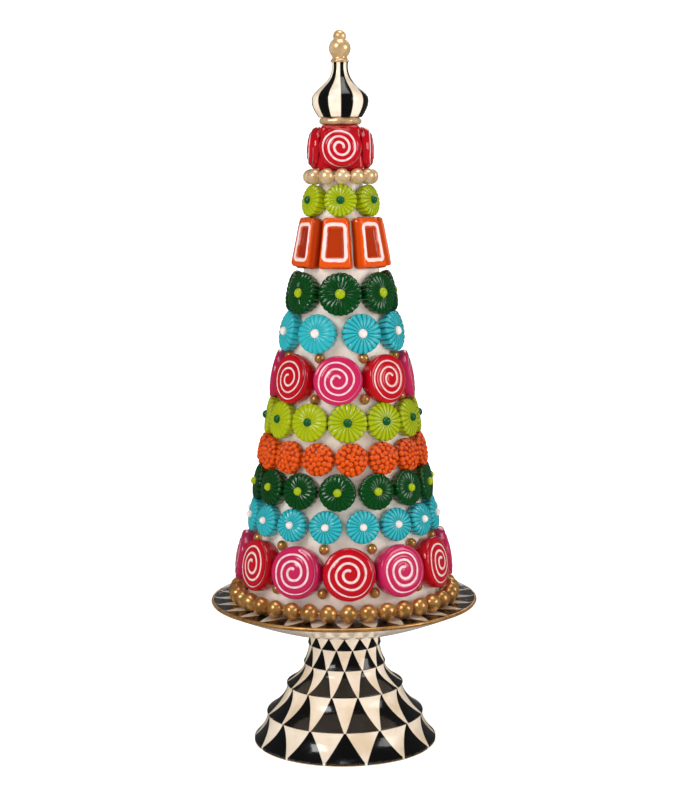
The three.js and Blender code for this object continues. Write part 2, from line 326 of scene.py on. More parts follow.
class Graph:
    """The nodes of one material."""

    def __init__(self, name: str) -> None:
        """Makes an empty material.

        Args:
            name: The material's name.
        """
        self.material = bpy.data.materials.new(name)
        self.material.use_nodes = True
        self.tree = self.material.node_tree
        self.tree.nodes.clear()

    def node(
        self,
        kind: str,
        settings: Union[Mapping[str, Any], None] = None,
        sockets: Union[Mapping[Union[str, int], Any], None] = None,
        output: Union[str, int] = 0,
    ) -> Signal:
        """Adds a node.

        Args:
            kind: The node's type, without the ShaderNode before it.
            settings: What is set on the node before its sockets.
            sockets: The value or the signal of each input.
            output: The output that is wanted.

        Returns:
            That output.
        """
        made = self.tree.nodes.new("ShaderNode" + kind)
        for name, value in (settings or {}).items():
            setattr(made, name, value)
        for key, value in (sockets or {}).items():
            socket = pick(made.inputs, key)
            if isinstance(value, Signal):
                self.tree.links.new(value.socket, socket)
            else:
                socket.default_value = value
        return Signal(self, pick(made.outputs, output))

    def painted(self, name: str) -> Signal:
        """A number that is kept on the points of the mesh."""
        return self.node("Attribute", {"attribute_name": name}, output="Fac")

    def painted_place(self, name: str) -> Signal:
        """The X of a place that is kept on the mesh's points, from a node that gives Y too."""
        return self.split(self.node("Attribute", {"attribute_name": name}, output="Vector"))

    def place(self) -> Signal:
        """The point's own place, as a vector."""
        return self.node("TexCoord", output="Object")

    def split(self, place: Signal) -> Signal:
        """The X of a place, from a node that gives Y and Z too."""
        return self.node("SeparateXYZ", {}, {"Vector": place})

    def turn(self) -> Signal:
        """The point's angle from the front, round +Z, in whole turns."""
        x = self.split(self.place())
        return x.math("ARCTAN2", x, 0.0 - x.other("Y")) / TURN

    def cloud(self, scale: float, detail: float = 2.0) -> Signal:
        """Soft noise between 0 and 1.

        Args:
            scale: How many clouds there are in a metre.
            detail: How many finer layers it has.

        Returns:
            The noise.
        """
        sockets = {"Vector": self.place(), "Scale": scale, "Detail": detail}
        return self.node("TexNoise", {}, sockets, "Fac")

    def varied(self, least: float, cloud: Cloud) -> Signal:
        """A number that a cloud adds to."""
        return least + cloud.amount * self.cloud(cloud.scale, cloud.detail)

    def patchy(self, patches: Patches, colour: Colour, shade: Colour) -> Signal:
        """A colour with soft patches of a second one.

        Args:
            patches: The patches.
            colour: The colour between them.
            shade: The colour inside them.

        Returns:
            The patchy colour.
        """
        noise = self.cloud(patches.scale, patches.detail)
        return self.blend(noise.ramp(patches.shaded, patches.clear), shade, colour)

    def blend(self, share: Term, first: Any, second: Any) -> Signal:
        """Mixes two colours.

        Args:
            share: How much of the second is in the mix.
            first: The colour at 0.
            second: The colour at 1.

        Returns:
            The mixed colour.
        """
        sockets = {"Factor_Float": share, "A_Color": first, "B_Color": second}
        return self.node("Mix", {"data_type": "RGBA"}, sockets, "Result_Color")

    def rippled(self, cloud: Cloud) -> Signal:
        """A normal that is bent by fine relief.

        Args:
            cloud: The relief, with its depth.

        Returns:
            The normal.
        """
        height = self.cloud(cloud.scale, cloud.detail)
        sockets = {"Height": height, "Distance": cloud.amount, "Strength": 1.0}
        return self.node("Bump", {}, sockets)

    def surface(self, **sockets: Any) -> bpy.types.Material:
        """Ends the graph in a surface shader.

        Args:
            **sockets: The shader's sockets, with a low line for each space in their names.

        Returns:
            The material.
        """
        named = {key.replace("_", " "): value for key, value in sockets.items()}
        shader = self.node("BsdfPrincipled", {}, named)
        output = self.tree.nodes.new("ShaderNodeOutputMaterial")
        self.tree.links.new(shader.socket, output.inputs["Surface"])
        return self.material


# ---- Finishes ----


class Finish(Protocol):
    """A surface finish."""

    def material(self) -> bpy.types.Material:
        """Makes the finish's material."""


class Paint(Enum):
    """The colours on the tree, each with a darker one: painted shade on a glaze, random patches on the rest."""

    RED = (paint(175, 4, 22), paint(98, 0, 10))
    PINK = (paint(182, 30, 80), paint(134, 8, 46))
    LIME = (paint(156, 168, 4), paint(98, 118, 2))
    GREEN = (paint(0, 62, 18), paint(0, 20, 4))
    TURQUOISE = (paint(43, 166, 174), paint(2, 78, 92))
    ORANGE = (paint(212, 77, 6), paint(148, 34, 0))
    WHITE = (paint(226, 214, 208), paint(204, 188, 180))
    LINE = (paint(236, 206, 202), paint(222, 170, 174))
    LIME_DOT = (paint(150, 168, 12), paint(104, 124, 4))
    GREEN_DOT = (paint(2, 78, 34), paint(0, 40, 16))
    IVORY = (paint(236, 220, 200), paint(216, 194, 164))
    BLACK = (paint(6, 5, 5), paint(4, 3, 3))
    CREAM = (paint(244, 231, 218), paint(228, 209, 192))
    GOLD = (paint(248, 218, 172), paint(216, 172, 116))
    # A darker, browner copy of the gold: painted shade on the gilt low on the tree, which gets less light.
    SHADED_GOLD = (paint(222, 168, 100), paint(176, 120, 62))


GLAZE = {
    "Specular_IOR_Level": 0.25,
    "Coat_Weight": 0.5,
    "Coat_Roughness": 0.04,
    "Coat_IOR": 1.5,
}

# How much a sweet's tone shifts its colour.
TONE_SPREAD = 0.35

# From this number on, the rows of black points lie on the plate.
PLATE_ROW = 10


@dataclass(frozen=True)
class Glaze:
    """A glossy coloured glaze, painted darker in its grooves and recesses, as painted shade."""

    name: str
    paint: Paint
    roughness: float = 0.1
    smears: Cloud = Cloud(160.0, 0.1)
    ripple: Cloud = Cloud(420.0, 0.00008)

    def colour(self, graph: Graph) -> Signal:
        """The glaze's colour over the surface, with painted shade where "relief" is low."""
        full, painted_shade = self.paint.value
        # Painted shade: where "relief" is low, in grooves, gaps, pockets and down side walls, the glaze takes its
        # darker colour.
        depth = (graph.painted("relief") + TONE_SPREAD * graph.painted("tone")).ramp(0.0, 1.0)
        return graph.blend(depth, painted_shade, full)

    def material(self) -> bpy.types.Material:
        """Makes the glaze's material."""
        graph = Graph(self.name)
        return graph.surface(
            Base_Color=self.colour(graph),
            Roughness=graph.varied(self.roughness, self.smears),
            Normal=graph.rippled(self.ripple),
            **GLAZE,
        )


@dataclass(frozen=True)
class Spiral:
    """A swirl's white line. Lengths are shares of the disc's radius.

    Seen from the front it runs outwards counter-clockwise, from a round end near the middle.
    """

    start: float = 0.15
    pitch: float = 0.264
    turns: float = 2.85
    inner_half: float = 0.047
    outer_half: float = 0.027
    fade: float = 0.5
    blur: float = 0.012
    groove_share: float = 0.7
    ridge_power: float = 0.8

    def relief(self, x: np.ndarray, y: np.ndarray) -> np.ndarray:
        """The coloured ridge between the turns of the line.

        Args:
            x: Places across the face.
            y: Places up the face.

        Returns:
            The ridge's height, from 0 along the line to 1 midway between its turns.
        """
        along = np.mod(np.arctan2(y, x) / TURN, 1.0)
        reach = np.hypot(x, y)
        lap = np.clip(np.round((reach - self.start) / self.pitch - along), 0, int(self.turns))
        off = np.abs(reach - self.start - self.pitch * (lap + along))
        half = self.inner_half + (self.outer_half - self.inner_half) * (lap + along) / self.turns
        groove = self.groove_share * half
        rise = np.clip((off - groove) / (self.pitch / 2 - groove), 0, 1)
        return np.sin(RIGHT_ANGLE * rise) ** self.ridge_power

    def line(self, graph: Graph) -> Signal:
        """The line's mask.

        Args:
            graph: The material's graph.

        Returns:
            1 on the white line and 0 off it.
        """
        x = graph.painted_place("face")
        y = x.other("Y")
        along = (x.math("ARCTAN2", y, x) / TURN).part()
        reach = (x * x + y * y).root()
        lap = round((reach - self.start) / self.pitch - along).most(0.0).least(int(self.turns))
        turns = lap + along
        half = self.inner_half + (self.outer_half - self.inner_half) / self.turns * turns
        half = half * turns.ramp(self.turns, self.turns - self.fade)
        off = abs(reach - self.start - self.pitch * turns)
        stroke = (off - half).ramp(self.blur, -self.blur)
        past = x - self.start
        from_tip = (past * past + y * y).root()
        tip = from_tip.ramp(self.inner_half + self.blur, self.inner_half - self.blur)
        return stroke.most(tip)


@dataclass(frozen=True)
class SwirlGlaze(Glaze):
    """A glaze with a white spiral line in it."""

    spiral: Spiral = Spiral()
    soil: Patches = Patches(300.0, 0.75, 0.35, 2.0)

    def colour(self, graph: Graph) -> Signal:
        """The glaze's colour, with the line."""
        line = graph.patchy(self.soil, *Paint.LINE.value)
        return graph.blend(self.spiral.line(graph), super().colour(graph), line)


@dataclass(frozen=True)
class FramedGlaze(Glaze):
    """A glaze with a white frame round a pocket, painted by hand."""

    smears: Cloud = Cloud(160.0, 0.08)
    ripple: Cloud = Cloud(300.0, 0.00012)
    width: float = 0.0028
    waver: Cloud = Cloud(150.0, 0.0015)
    blur: float = 0.00022

    def colour(self, graph: Graph) -> Signal:
        """The glaze's colour, with the frame."""
        waver = self.waver.amount * (graph.cloud(self.waver.scale) - 0.5)
        off = graph.painted("off_pocket") + waver
        inside = off.ramp(-self.blur, self.blur)
        outside = off.ramp(self.width + self.blur, self.width - self.blur)
        return graph.blend(inside * outside, super().colour(graph), Paint.LINE.value[0])


@dataclass(frozen=True)
class PointedEnamel(Glaze):
    """Ivory enamel with rows of black points, whose rows are numbered by "row" on the mesh.

    A row's number is whole at the foot of its points and nearly a whole one more at their
    tips. From the plate's row on there are more points in a row than there are on the foot.
    """

    name: str = "pointed_enamel"
    paint: Paint = Paint.IVORY
    roughness: float = 0.12
    smears: Cloud = Cloud(120.0, 0.1)
    ripple: Cloud = Cloud(140.0, 0.0003, 3.0)
    shading: Patches = Patches(45.0, 0.75, 0.4)
    foot_points: int = 14
    plate_points: int = 28
    lowest_row: float = 0.9
    fullness: float = 0.47
    blur: float = 0.012

    def colour(self, graph: Graph) -> Signal:
        """The enamel's colour, with the points.

        Args:
            graph: The material's graph.

        Returns:
            The colour.
        """
        turn = graph.turn()
        row = graph.painted("row")
        number = row.math("FLOOR", row)
        on_plate = row.math("GREATER_THAN", row, PLATE_ROW - 0.5)
        count = self.foot_points + (self.plate_points - self.foot_points) * on_plate
        column = (turn * count + 0.5 * number).part()
        slim = self.fullness * (1.0 - (row - number))
        black = (abs(column - 0.5) - slim).ramp(self.blur, -self.blur)
        painted = black * row.math("GREATER_THAN", row, self.lowest_row)
        ground = graph.patchy(self.shading, *self.paint.value)
        return graph.blend(painted, ground, Paint.BLACK.value[0])


@dataclass(frozen=True)
class StripedEnamel(Glaze):
    """Ivory enamel with upright black stripes."""

    name: str = "striped_enamel"
    paint: Paint = Paint.IVORY
    ripple: Cloud = Cloud(220.0, 0.00015, 3.0)
    shading: Patches = Patches(90.0, 0.75, 0.4)
    stripes: int = 7
    phase: float = -0.031
    half_stripe: float = 0.25
    blur: float = 0.02

    def colour(self, graph: Graph) -> Signal:
        """The enamel's colour, with the stripes."""
        column = ((graph.turn() - self.phase) * self.stripes).part()
        between = (abs(column - 0.5) - self.half_stripe).ramp(-self.blur, self.blur)
        ground = graph.patchy(self.shading, *self.paint.value)
        return graph.blend(1 - between, ground, Paint.BLACK.value[0])


@dataclass(frozen=True)
class Gilt:
    """Satin gold paint, browner where it is thin."""

    name: str = "pale_gilt"
    paint: Paint = Paint.GOLD
    metallic: float = 0.56
    roughness: float = 0.23
    smears: Cloud = Cloud(300.0, 0.12, 3.0)
    ripple: Cloud = Cloud(180.0, 0.00005)
    thin: Patches = Patches(110.0, 0.75, 0.3)

    def material(self) -> bpy.types.Material:
        """Makes the gold paint's material."""
        graph = Graph(self.name)
        return graph.surface(
            Base_Color=graph.patchy(self.thin, *self.paint.value),
            Metallic=self.metallic,
            Roughness=graph.varied(self.roughness, self.smears),
            Normal=graph.rippled(self.ripple),
        )


# The darker gold: painted shade for the plate's rim, the base beads and the small beads.
SHADED_GOLD = Gilt("shaded_gilt", Paint.SHADED_GOLD, 0.7)


@dataclass(frozen=True)
class ConePaint:
    """Satin cream paint with faint blushes and brush marks."""

    name: str = "cream_paint"
    paint: Paint = Paint.CREAM
    roughness: float = 0.28
    smears: Cloud = Cloud(200.0, 0.2)
    brush_marks: Cloud = Cloud(260.0, 0.0004, 5.0)
    blushes: Patches = Patches(60.0, 0.7, 0.4, 4.0)
    coat: float = 0.25
    coat_roughness: float = 0.12

    def material(self) -> bpy.types.Material:
        """Makes the cone's material."""
        graph = Graph(self.name)
        return graph.surface(
            Base_Color=graph.patchy(self.blushes, *self.paint.value),
            Roughness=graph.varied(self.roughness, self.smears),
            Normal=graph.rippled(self.brush_marks),
            Coat_Weight=self.coat,
            Coat_Roughness=self.coat_roughness,
        )


@dataclass(frozen=True)
class Paper:
    """Matt pale paper, lit from behind where it is far from the tree."""

    name: str = "pale_paper"
    colour: Colour = (0.87, 0.87, 0.87, 1.0)
    roughness: float = 0.9
    near: float = 0.35
    far: float = 1.6
    near_glow: Colour = (0.5, 0.5, 0.5, 1.0)
    far_glow: Colour = (0.9, 0.9, 0.9, 1.0)

    def material(self) -> bpy.types.Material:
        """Makes the floor's material."""
        graph = Graph(self.name)
        x = graph.split(graph.place())
        y = x.other("Y")
        away = (x * x + y * y).root().ramp(self.near, self.far)
        return graph.surface(
            Base_Color=self.colour,
            Roughness=self.roughness,
            Emission_Color=graph.blend(away, self.near_glow, self.far_glow),
            Emission_Strength=1.0,
        )


# ---- Meshes ----

# How many points a round corner has before its outline is spread evenly.
CORNER_STEPS = 12

# How many waves make a form uneven, and how many radians of one lie along its radius.
LUMP_WAVES = 4
LUMP_WAVE = 2.2

# How far apart the unevenness of two neighbours lies, and that of two rows, in radians.
INDEX_STRIDE = 12.9898
KIND_STRIDE = 4.1414


class Crease(Enum):
    """The bend, in degrees, past which an edge stays sharp on each kind of surface."""

    ENAMELLED = 35.0
    TURNED = 40.0
    CAST = 50.0
    ROUND = 60.0
    RIBBED = 80.0


@dataclass
class Skin:
    """Closed skins in one mesh.

    Attributes:
        points: The place of each point.
        faces: The points of each face, outward side first, with -1 last in a triangle.
        marks: Which of the piece's finishes each face has.
        painted: Values kept on the points, by name.
    """

    points: np.ndarray
    faces: np.ndarray
    marks: np.ndarray
    painted: dict[str, np.ndarray] = field(default_factory=dict)

    def moved(self, place: np.ndarray) -> "Skin":
        """The skin after a move.

        Args:
            place: The move, as a 4 by 4 matrix.

        Returns:
            The moved skin.
        """
        points = self.points @ place[:3, :3].T + place[:3, 3]
        return Skin(points, self.faces, self.marks, self.painted)

    def marked(self, mark: int) -> "Skin":
        """The skin with one finish all over."""
        return Skin(self.points, self.faces, np.full(len(self.faces), mark), self.painted)

    def paint_all(self, **values: float) -> "Skin":
        """Keeps the same value on every point.

        Args:
            **values: The value of each name.

        Returns:
            The skin itself.
        """
        for name, value in values.items():
            self.painted[name] = np.full(len(self.points), value)
        return self

    def piece(self, name: str, finishes: Sequence[bpy.types.Material], crease: Crease) -> Any:
        """Makes the object, smooth but for its sharp edges.

        Args:
            name: The object's name.
            finishes: The materials that the marks stand for.
            crease: How far an edge may bend and still be smooth.

        Returns:
            The object.
        """
        mesh = bpy.data.meshes.new(name)
        corners = self.faces >= 0
        totals = corners.sum(axis=1)
        mesh.vertices.add(len(self.points))
        mesh.vertices.foreach_set("co", self.points.astype(np.float32).ravel())
        mesh.loops.add(int(totals.sum()))
        mesh.loops.foreach_set("vertex_index", self.faces[corners].astype(np.int32))
        mesh.polygons.add(len(totals))
        starts = np.concatenate([[0], np.cumsum(totals)[:-1]]).astype(np.int32)
        mesh.polygons.foreach_set("loop_start", starts)
        mesh.polygons.foreach_set("material_index", self.marks.astype(np.int32))
        for key, values in self.painted.items():
            wide = values.ndim == 2
            kept = mesh.attributes.new(key, "FLOAT_VECTOR" if wide else "FLOAT", "POINT")
            kept.data.foreach_set("vector" if wide else "value", values.astype(np.float32).ravel())
        for finish in finishes:
            mesh.materials.append(finish)
        mesh.update(calc_edges=True)
        mesh.validate()
        mesh.shade_smooth()
        mesh.set_sharp_from_angle(angle=math.radians(crease.value))
        made = bpy.data.objects.new(name, mesh)
        bpy.context.scene.collection.objects.link(made)
        return made


def joined(skins: Sequence[Skin]) -> Skin:
    """Joins skins into one mesh.

    Args:
        skins: The skins. What one of them doesn't keep on its points is 0 there.

    Returns:
        The joined skin.
    """
    starts = np.cumsum([0] + [len(skin.points) for skin in skins])
    faces = [
        np.where(skin.faces >= 0, skin.faces + start, -1) for skin, start in zip(skins, starts)
    ]
    widths = {key: values.shape[1:] for skin in skins for key, values in skin.painted.items()}
    painted = {}
    for key, width in widths.items():
        values = [skin.painted.get(key, np.zeros((len(skin.points), *width))) for skin in skins]
        painted[key] = np.concatenate(values)
    return Skin(
        np.concatenate([skin.points for skin in skins]),
        np.concatenate(faces),
        np.concatenate([skin.marks for skin in skins]),
        painted,
    )


def closed(rings: np.ndarray, foot: np.ndarray, tip: np.ndarray) -> Skin:
    """Closes a stack of rings with a point at each end.

    Args:
        rings: Rows of points round +Z, counter-clockwise seen from above, lowest row first.
        foot: The point that closes the lowest ring.
        tip: The point that closes the last ring.

    Returns:
        The closed skin.
    """
    rows, columns, _ = rings.shape
    here = np.arange(rows * columns).reshape(rows, columns)
    after = np.roll(here, -1, axis=1)
    walls = np.stack([here[:-1], after[:-1], after[1:], here[1:]], axis=-1).reshape(-1, 4)
    last = rows * columns
    ends = np.full(columns, -1)
    foot_fan = np.stack([after[0], here[0], np.full(columns, last), ends], axis=-1)
    tip_fan = np.stack([here[-1], after[-1], np.full(columns, last + 1), ends], axis=-1)
    points = np.concatenate([rings.reshape(-1, 3), [foot, tip]])
    faces = np.concatenate([walls, foot_fan, tip_fan])
    return Skin(points, faces, np.zeros(len(faces), int))


def with_ends(values: np.ndarray) -> np.ndarray:
    """Values of a ring stack's points, followed by the mean of each end ring for its end point."""
    flat = values.reshape(values.shape[0] * values.shape[1], *values.shape[2:])
    return np.concatenate([flat, [values[0].mean(axis=0)], [values[-1].mean(axis=0)]])


def evenly(track: np.ndarray, count: int) -> np.ndarray:
    """Spreads points at even steps along a track.

    Args:
        track: The track, as many close points.
        count: How many points are wanted.

    Returns:
        The points.
    """
    steps = np.sqrt((np.diff(track, axis=0) ** 2).sum(axis=1))
    along = np.concatenate([[0.0], np.cumsum(steps)])
    wanted = np.linspace(0.0, along[-1], count)
    return np.stack([np.interp(wanted, along, values) for values in track.T], axis=1)


def turned(profile: np.ndarray, columns: int) -> np.ndarray:
    """Turns a profile about +Z.

    Args:
        profile: Radius and height of each point.
        columns: How many points go round.

    Returns:
        The rings.
    """
    angle = TURN * np.arange(columns) / columns
    radius, height = profile[:, :1], profile[:, 1:]
    level = np.broadcast_to(height, (len(profile), columns))
    return np.stack([radius * np.cos(angle), radius * np.sin(angle), level], axis=-1)


def outward(rings: np.ndarray) -> np.ndarray:
    """The outward normals of a ring stack.

    Args:
        rings: The rings.

    Returns:
        A unit vector for each point.
    """
    up = np.gradient(rings, axis=0)
    along = np.roll(rings, -1, axis=1) - np.roll(rings, 1, axis=1)
    normal = np.cross(along, up)
    length = np.linalg.norm(normal, axis=-1, keepdims=True)
    return normal / np.maximum(length, TINY)


def lathe(profile: np.ndarray, columns: int) -> Skin:
    """A turned skin that is closed on the axis at both ends."""
    foot, tip = (np.array([0.0, 0.0, height]) for height in (profile[0, 1], profile[-1, 1]))
    return closed(turned(profile, columns), foot, tip)


def arc(middle: tuple[float, float], radius: float, sweep: Sweep) -> np.ndarray:
    """Points on an arc.

    Args:
        middle: Radius and height of the arc's centre.
        radius: The arc's own radius.
        sweep: Its first and last angle above the horizontal, in degrees, and its count of
            points.

    Returns:
        Radius and height of each point.
    """
    angle = np.radians(np.linspace(*sweep))
    return np.stack([np.cos(angle), np.sin(angle)], axis=1) * radius + middle


def unit(vector: np.ndarray) -> np.ndarray:
    """The vector at length 1."""
    return vector / np.linalg.norm(vector)


def rounded(corners: np.ndarray, rounding: float, count: int) -> np.ndarray:
    """An outline with round corners.

    Args:
        corners: The corners, counter-clockwise.
        rounding: How far from a corner its rounding starts.
        count: How many points go round.

    Returns:
        The points.
    """
    share = np.linspace(0.0, 1.0, CORNER_STEPS)[:, None]
    track = []
    for before, corner, after in zip(np.roll(corners, 1, 0), corners, np.roll(corners, -1, 0)):
        start = corner + rounding * unit(before - corner)
        end = corner + rounding * unit(after - corner)
        track.append((1 - share) ** 2 * start + 2 * share * (1 - share) * corner + share**2 * end)
    track.append(track[0][:1])
    return evenly(np.concatenate(track), count + 1)[:-1]


def unevenness(index: int, kind: int) -> float:
    """A small unevenness between -1 and 1 that is the same each time for the same piece."""
    return math.sin(INDEX_STRIDE * (index + 1) + KIND_STRIDE * kind)


def lumpy(rings: np.ndarray, middle: np.ndarray, seed: int, depth: float) -> np.ndarray:
    """Makes a round form a little uneven, as if shaped by hand.

    Args:
        rings: The rings of the form.
        middle: Its middle.
        seed: Which of the many uneven forms it takes.
        depth: How much it varies, as a share of its radius.

    Returns:
        The uneven rings.
    """
    rng = np.random.default_rng(seed)
    ways = rng.normal(size=(LUMP_WAVES, 3))
    shifts = rng.uniform(0, TURN, LUMP_WAVES)
    reach = rings - middle
    size = np.linalg.norm(reach, axis=-1).max()
    waves = np.cos(LUMP_WAVE * (reach / size) @ ways.T + shifts).mean(axis=-1)
    return middle + reach * (1 + depth * waves[..., None])


def globe(radius: float, middle: np.ndarray, seed: int, lumps: float, sides: int) -> Skin:
    """A bead.

    Args:
        radius: The bead's radius.
        middle: Its middle.
        seed: Which uneven form it takes.
        lumps: How uneven it is, as a share of its radius.
        sides: How many points go round it.

    Returns:
        The bead's skin.
    """
    rows = sides // 2
    edge = 90.0 - 180.0 / rows
    rings = turned(arc((0.0, 0.0), radius, (-edge, edge, rows - 1)), sides) + middle
    rings = lumpy(rings, middle, seed, lumps)
    pole = np.array([0.0, 0.0, radius])
    return closed(rings, middle - pole, middle + pole)


# ---- The cone and what sits on it ----

# Below this share of its height a sweet's wall is drawn to the cone.
SEAT_SHARE = 0.4

# How far apart the seeds of two rows are.
SEED_STRIDE = 100

# What a row's kind is raised by, so that spins and tones differ apart from sizes.
SPIN_SHIFT = 3
TONE_SHIFT = 7

# How many points the stretches of an outline have before it is spread evenly.
WALL_STEPS = 60
DOME_STEPS = 240
SHOULDER_STEPS = 40
FACE_STEPS = 120
CURVE_STEPS = 200

# The fullness of a round dome.
ROUND = 2.0


@dataclass(frozen=True)
class Cone:
    """The slender cone, whose side falls in by its taper for each metre of height.

    Attributes:
        foot: The height of its foot.
        radius: Its radius there.
        shoulder: The height where its side ends.
        collar_foot: The height where its collar starts.
        collar: The collar's radius.
        top: The height of the collar's top.
        sink: How deep a sweet's seat lies in the side.
        columns: How many points go round.
        rows: How many rings the side has.
        collar_rows: How many rings the collar has.
        drop_steps: How many steps find a seat's way to the side.
    """

    foot: float = 0.1194
    radius: float = 0.0795
    taper: float = 0.185
    shoulder: float = 0.452
    collar_foot: float = 0.455
    collar: float = 0.0172
    top: float = 0.4636
    sink: float = 0.0005
    columns: int = 128
    rows: int = 70
    collar_rows: int = 8
    drop_steps: int = 16

    def lean(self) -> float:
        """How far a sweet's crown is tipped up from level."""
        return math.atan(self.taper)

    def radius_at(self, height: Any) -> Any:
        """The side's radius at a height."""
        return self.radius - self.taper * (height - self.foot)

    def drop(self, place: np.ndarray, seat: np.ndarray) -> np.ndarray:
        """How far points of a seat move along the sweet's own +Z to reach the cone.

        Args:
            place: Where the sweet is.
            seat: Points of the seat, in the sweet's own frame.

        Returns:
            The distance for each point, which is negative where the cone curves away.
        """
        start = seat @ place[:3, :3].T + place[:3, 3]
        way = place[:3, 2]
        slid = np.zeros(len(seat))
        for _ in range(self.drop_steps):
            point = start + slid[:, None] * way
            slid += self.radius_at(point[:, 2]) - self.sink - np.hypot(point[:, 0], point[:, 1])
        return slid

    def dress(self) -> None:
        """Makes the bare cone."""
        edge = [[self.radius_at(self.shoulder), self.shoulder]]
        side = evenly(np.array([[self.radius, self.foot], *edge]), self.rows)
        collar = [[self.collar, self.collar_foot], [self.collar, self.top]]
        end = evenly(np.array([*edge, *collar]), self.collar_rows)[1:]
        skin = lathe(np.concatenate([side, end]), self.columns)
        made = skin.piece("cone_body", [material(ConePaint())], Crease.TURNED)
        stand_for(made, "cone_cream", "cone")


@dataclass(frozen=True)
class Row:
    """A ring of like sweets round the cone.

    Attributes:
        name: What its pieces are called.
        count: How many sweets go round.
        height: The height of the middle of their crowns.
        diameter: How wide each is.
        proud: How far each stands off the cone.
        phase: The first one's angle from the front, in degrees.
        kind: Which of the uneven rings it is.
        turn: How far each is turned about its own axis, on the whole.
        loose: How much that differs from one to the next.
        size_spread: How much their sizes differ, as a share.
    """

    name: str
    count: int
    height: float
    diameter: float
    proud: float
    phase: float
    kind: int
    turn: float = 0.0
    loose: float = 1.0
    size_spread: float = 0.012

    def radius(self, index: int) -> float:
        """One sweet's radius."""
        return self.diameter / 2 * (1 + self.size_spread * unevenness(index, self.kind))

    def spin(self, index: int) -> float:
        """How far one sweet is turned about its own axis."""
        return self.turn + self.loose * unevenness(index, self.kind + SPIN_SHIFT)

    def azimuth(self, index: int) -> float:
        """One sweet's angle from the front."""
        return math.radians(self.phase + 360 * index / self.count)

    def place(self, cone: Cone, index: int, spin: float) -> np.ndarray:
        """Where a sweet goes.

        Args:
            cone: The cone that it sits on.
            index: Which one of the row it is.
            spin: How far it is turned about its own axis.

        Returns:
            Its place, as a 4 by 4 matrix.
        """
        seat = self.height - self.proud * math.sin(cone.lean())
        return facing(self.azimuth(index), cone.radius_at(seat), seat, cone.lean(), spin)


def facing(azimuth: float, radius: float, height: float, lean: float, spin: float) -> np.ndarray:
    """The place of a sweet that faces out from the axis.

    Args:
        azimuth: Its angle from the front.
        radius: How far its seat is from the axis.
        height: The height of its seat.
        lean: How far it is tipped up.
        spin: How far it is turned about its own axis.

    Returns:
        The place, as a 4 by 4 matrix.
    """
    return np.array(
        Matrix.Rotation(azimuth, 4, "Z")
        @ Matrix.Translation((0.0, -radius, height))
        @ Matrix.Rotation(RIGHT_ANGLE - lean, 4, "X")
        @ Matrix.Rotation(spin, 4, "Z")
    )


class Sweet(Protocol):
    """A kind of sweet."""

    def blank(self, radius: float, proud: float, seed: int) -> Skin:
        """Makes a sweet about +Z, with its seat at height 0."""


def wall(radius: float, seat: float, girth: float) -> np.ndarray:
    """The outline from a sweet's seat out to its girth.

    Args:
        radius: The sweet's radius.
        seat: The seat's share of it.
        girth: The height of the girth.

    Returns:
        Radius and height of each point.
    """
    sweep = np.linspace(0.0, RIGHT_ANGLE, WALL_STEPS)
    reach = radius * (seat + (1 - seat) * np.sin(sweep))
    return np.stack([reach, girth * (1 - np.cos(sweep))], axis=1)


def dome(
    radius: float, girth: float, top: float, fullness: float, count: int = DOME_STEPS
) -> np.ndarray:
    """The outline from a sweet's girth up to its crown.

    Args:
        radius: The sweet's radius.
        girth: The height of the girth.
        top: The height of the crown.
        fullness: 2 for a round outline, and more for a squarer one.
        count: How many points it has.

    Returns:
        Radius and height of each point.
    """
    sweep = np.linspace(0.0, RIGHT_ANGLE, count)
    power = 2 / fullness
    height = girth + (top - girth) * np.sin(sweep) ** power
    return np.stack([radius * np.clip(np.cos(sweep), 0, 1) ** power, height], axis=1)


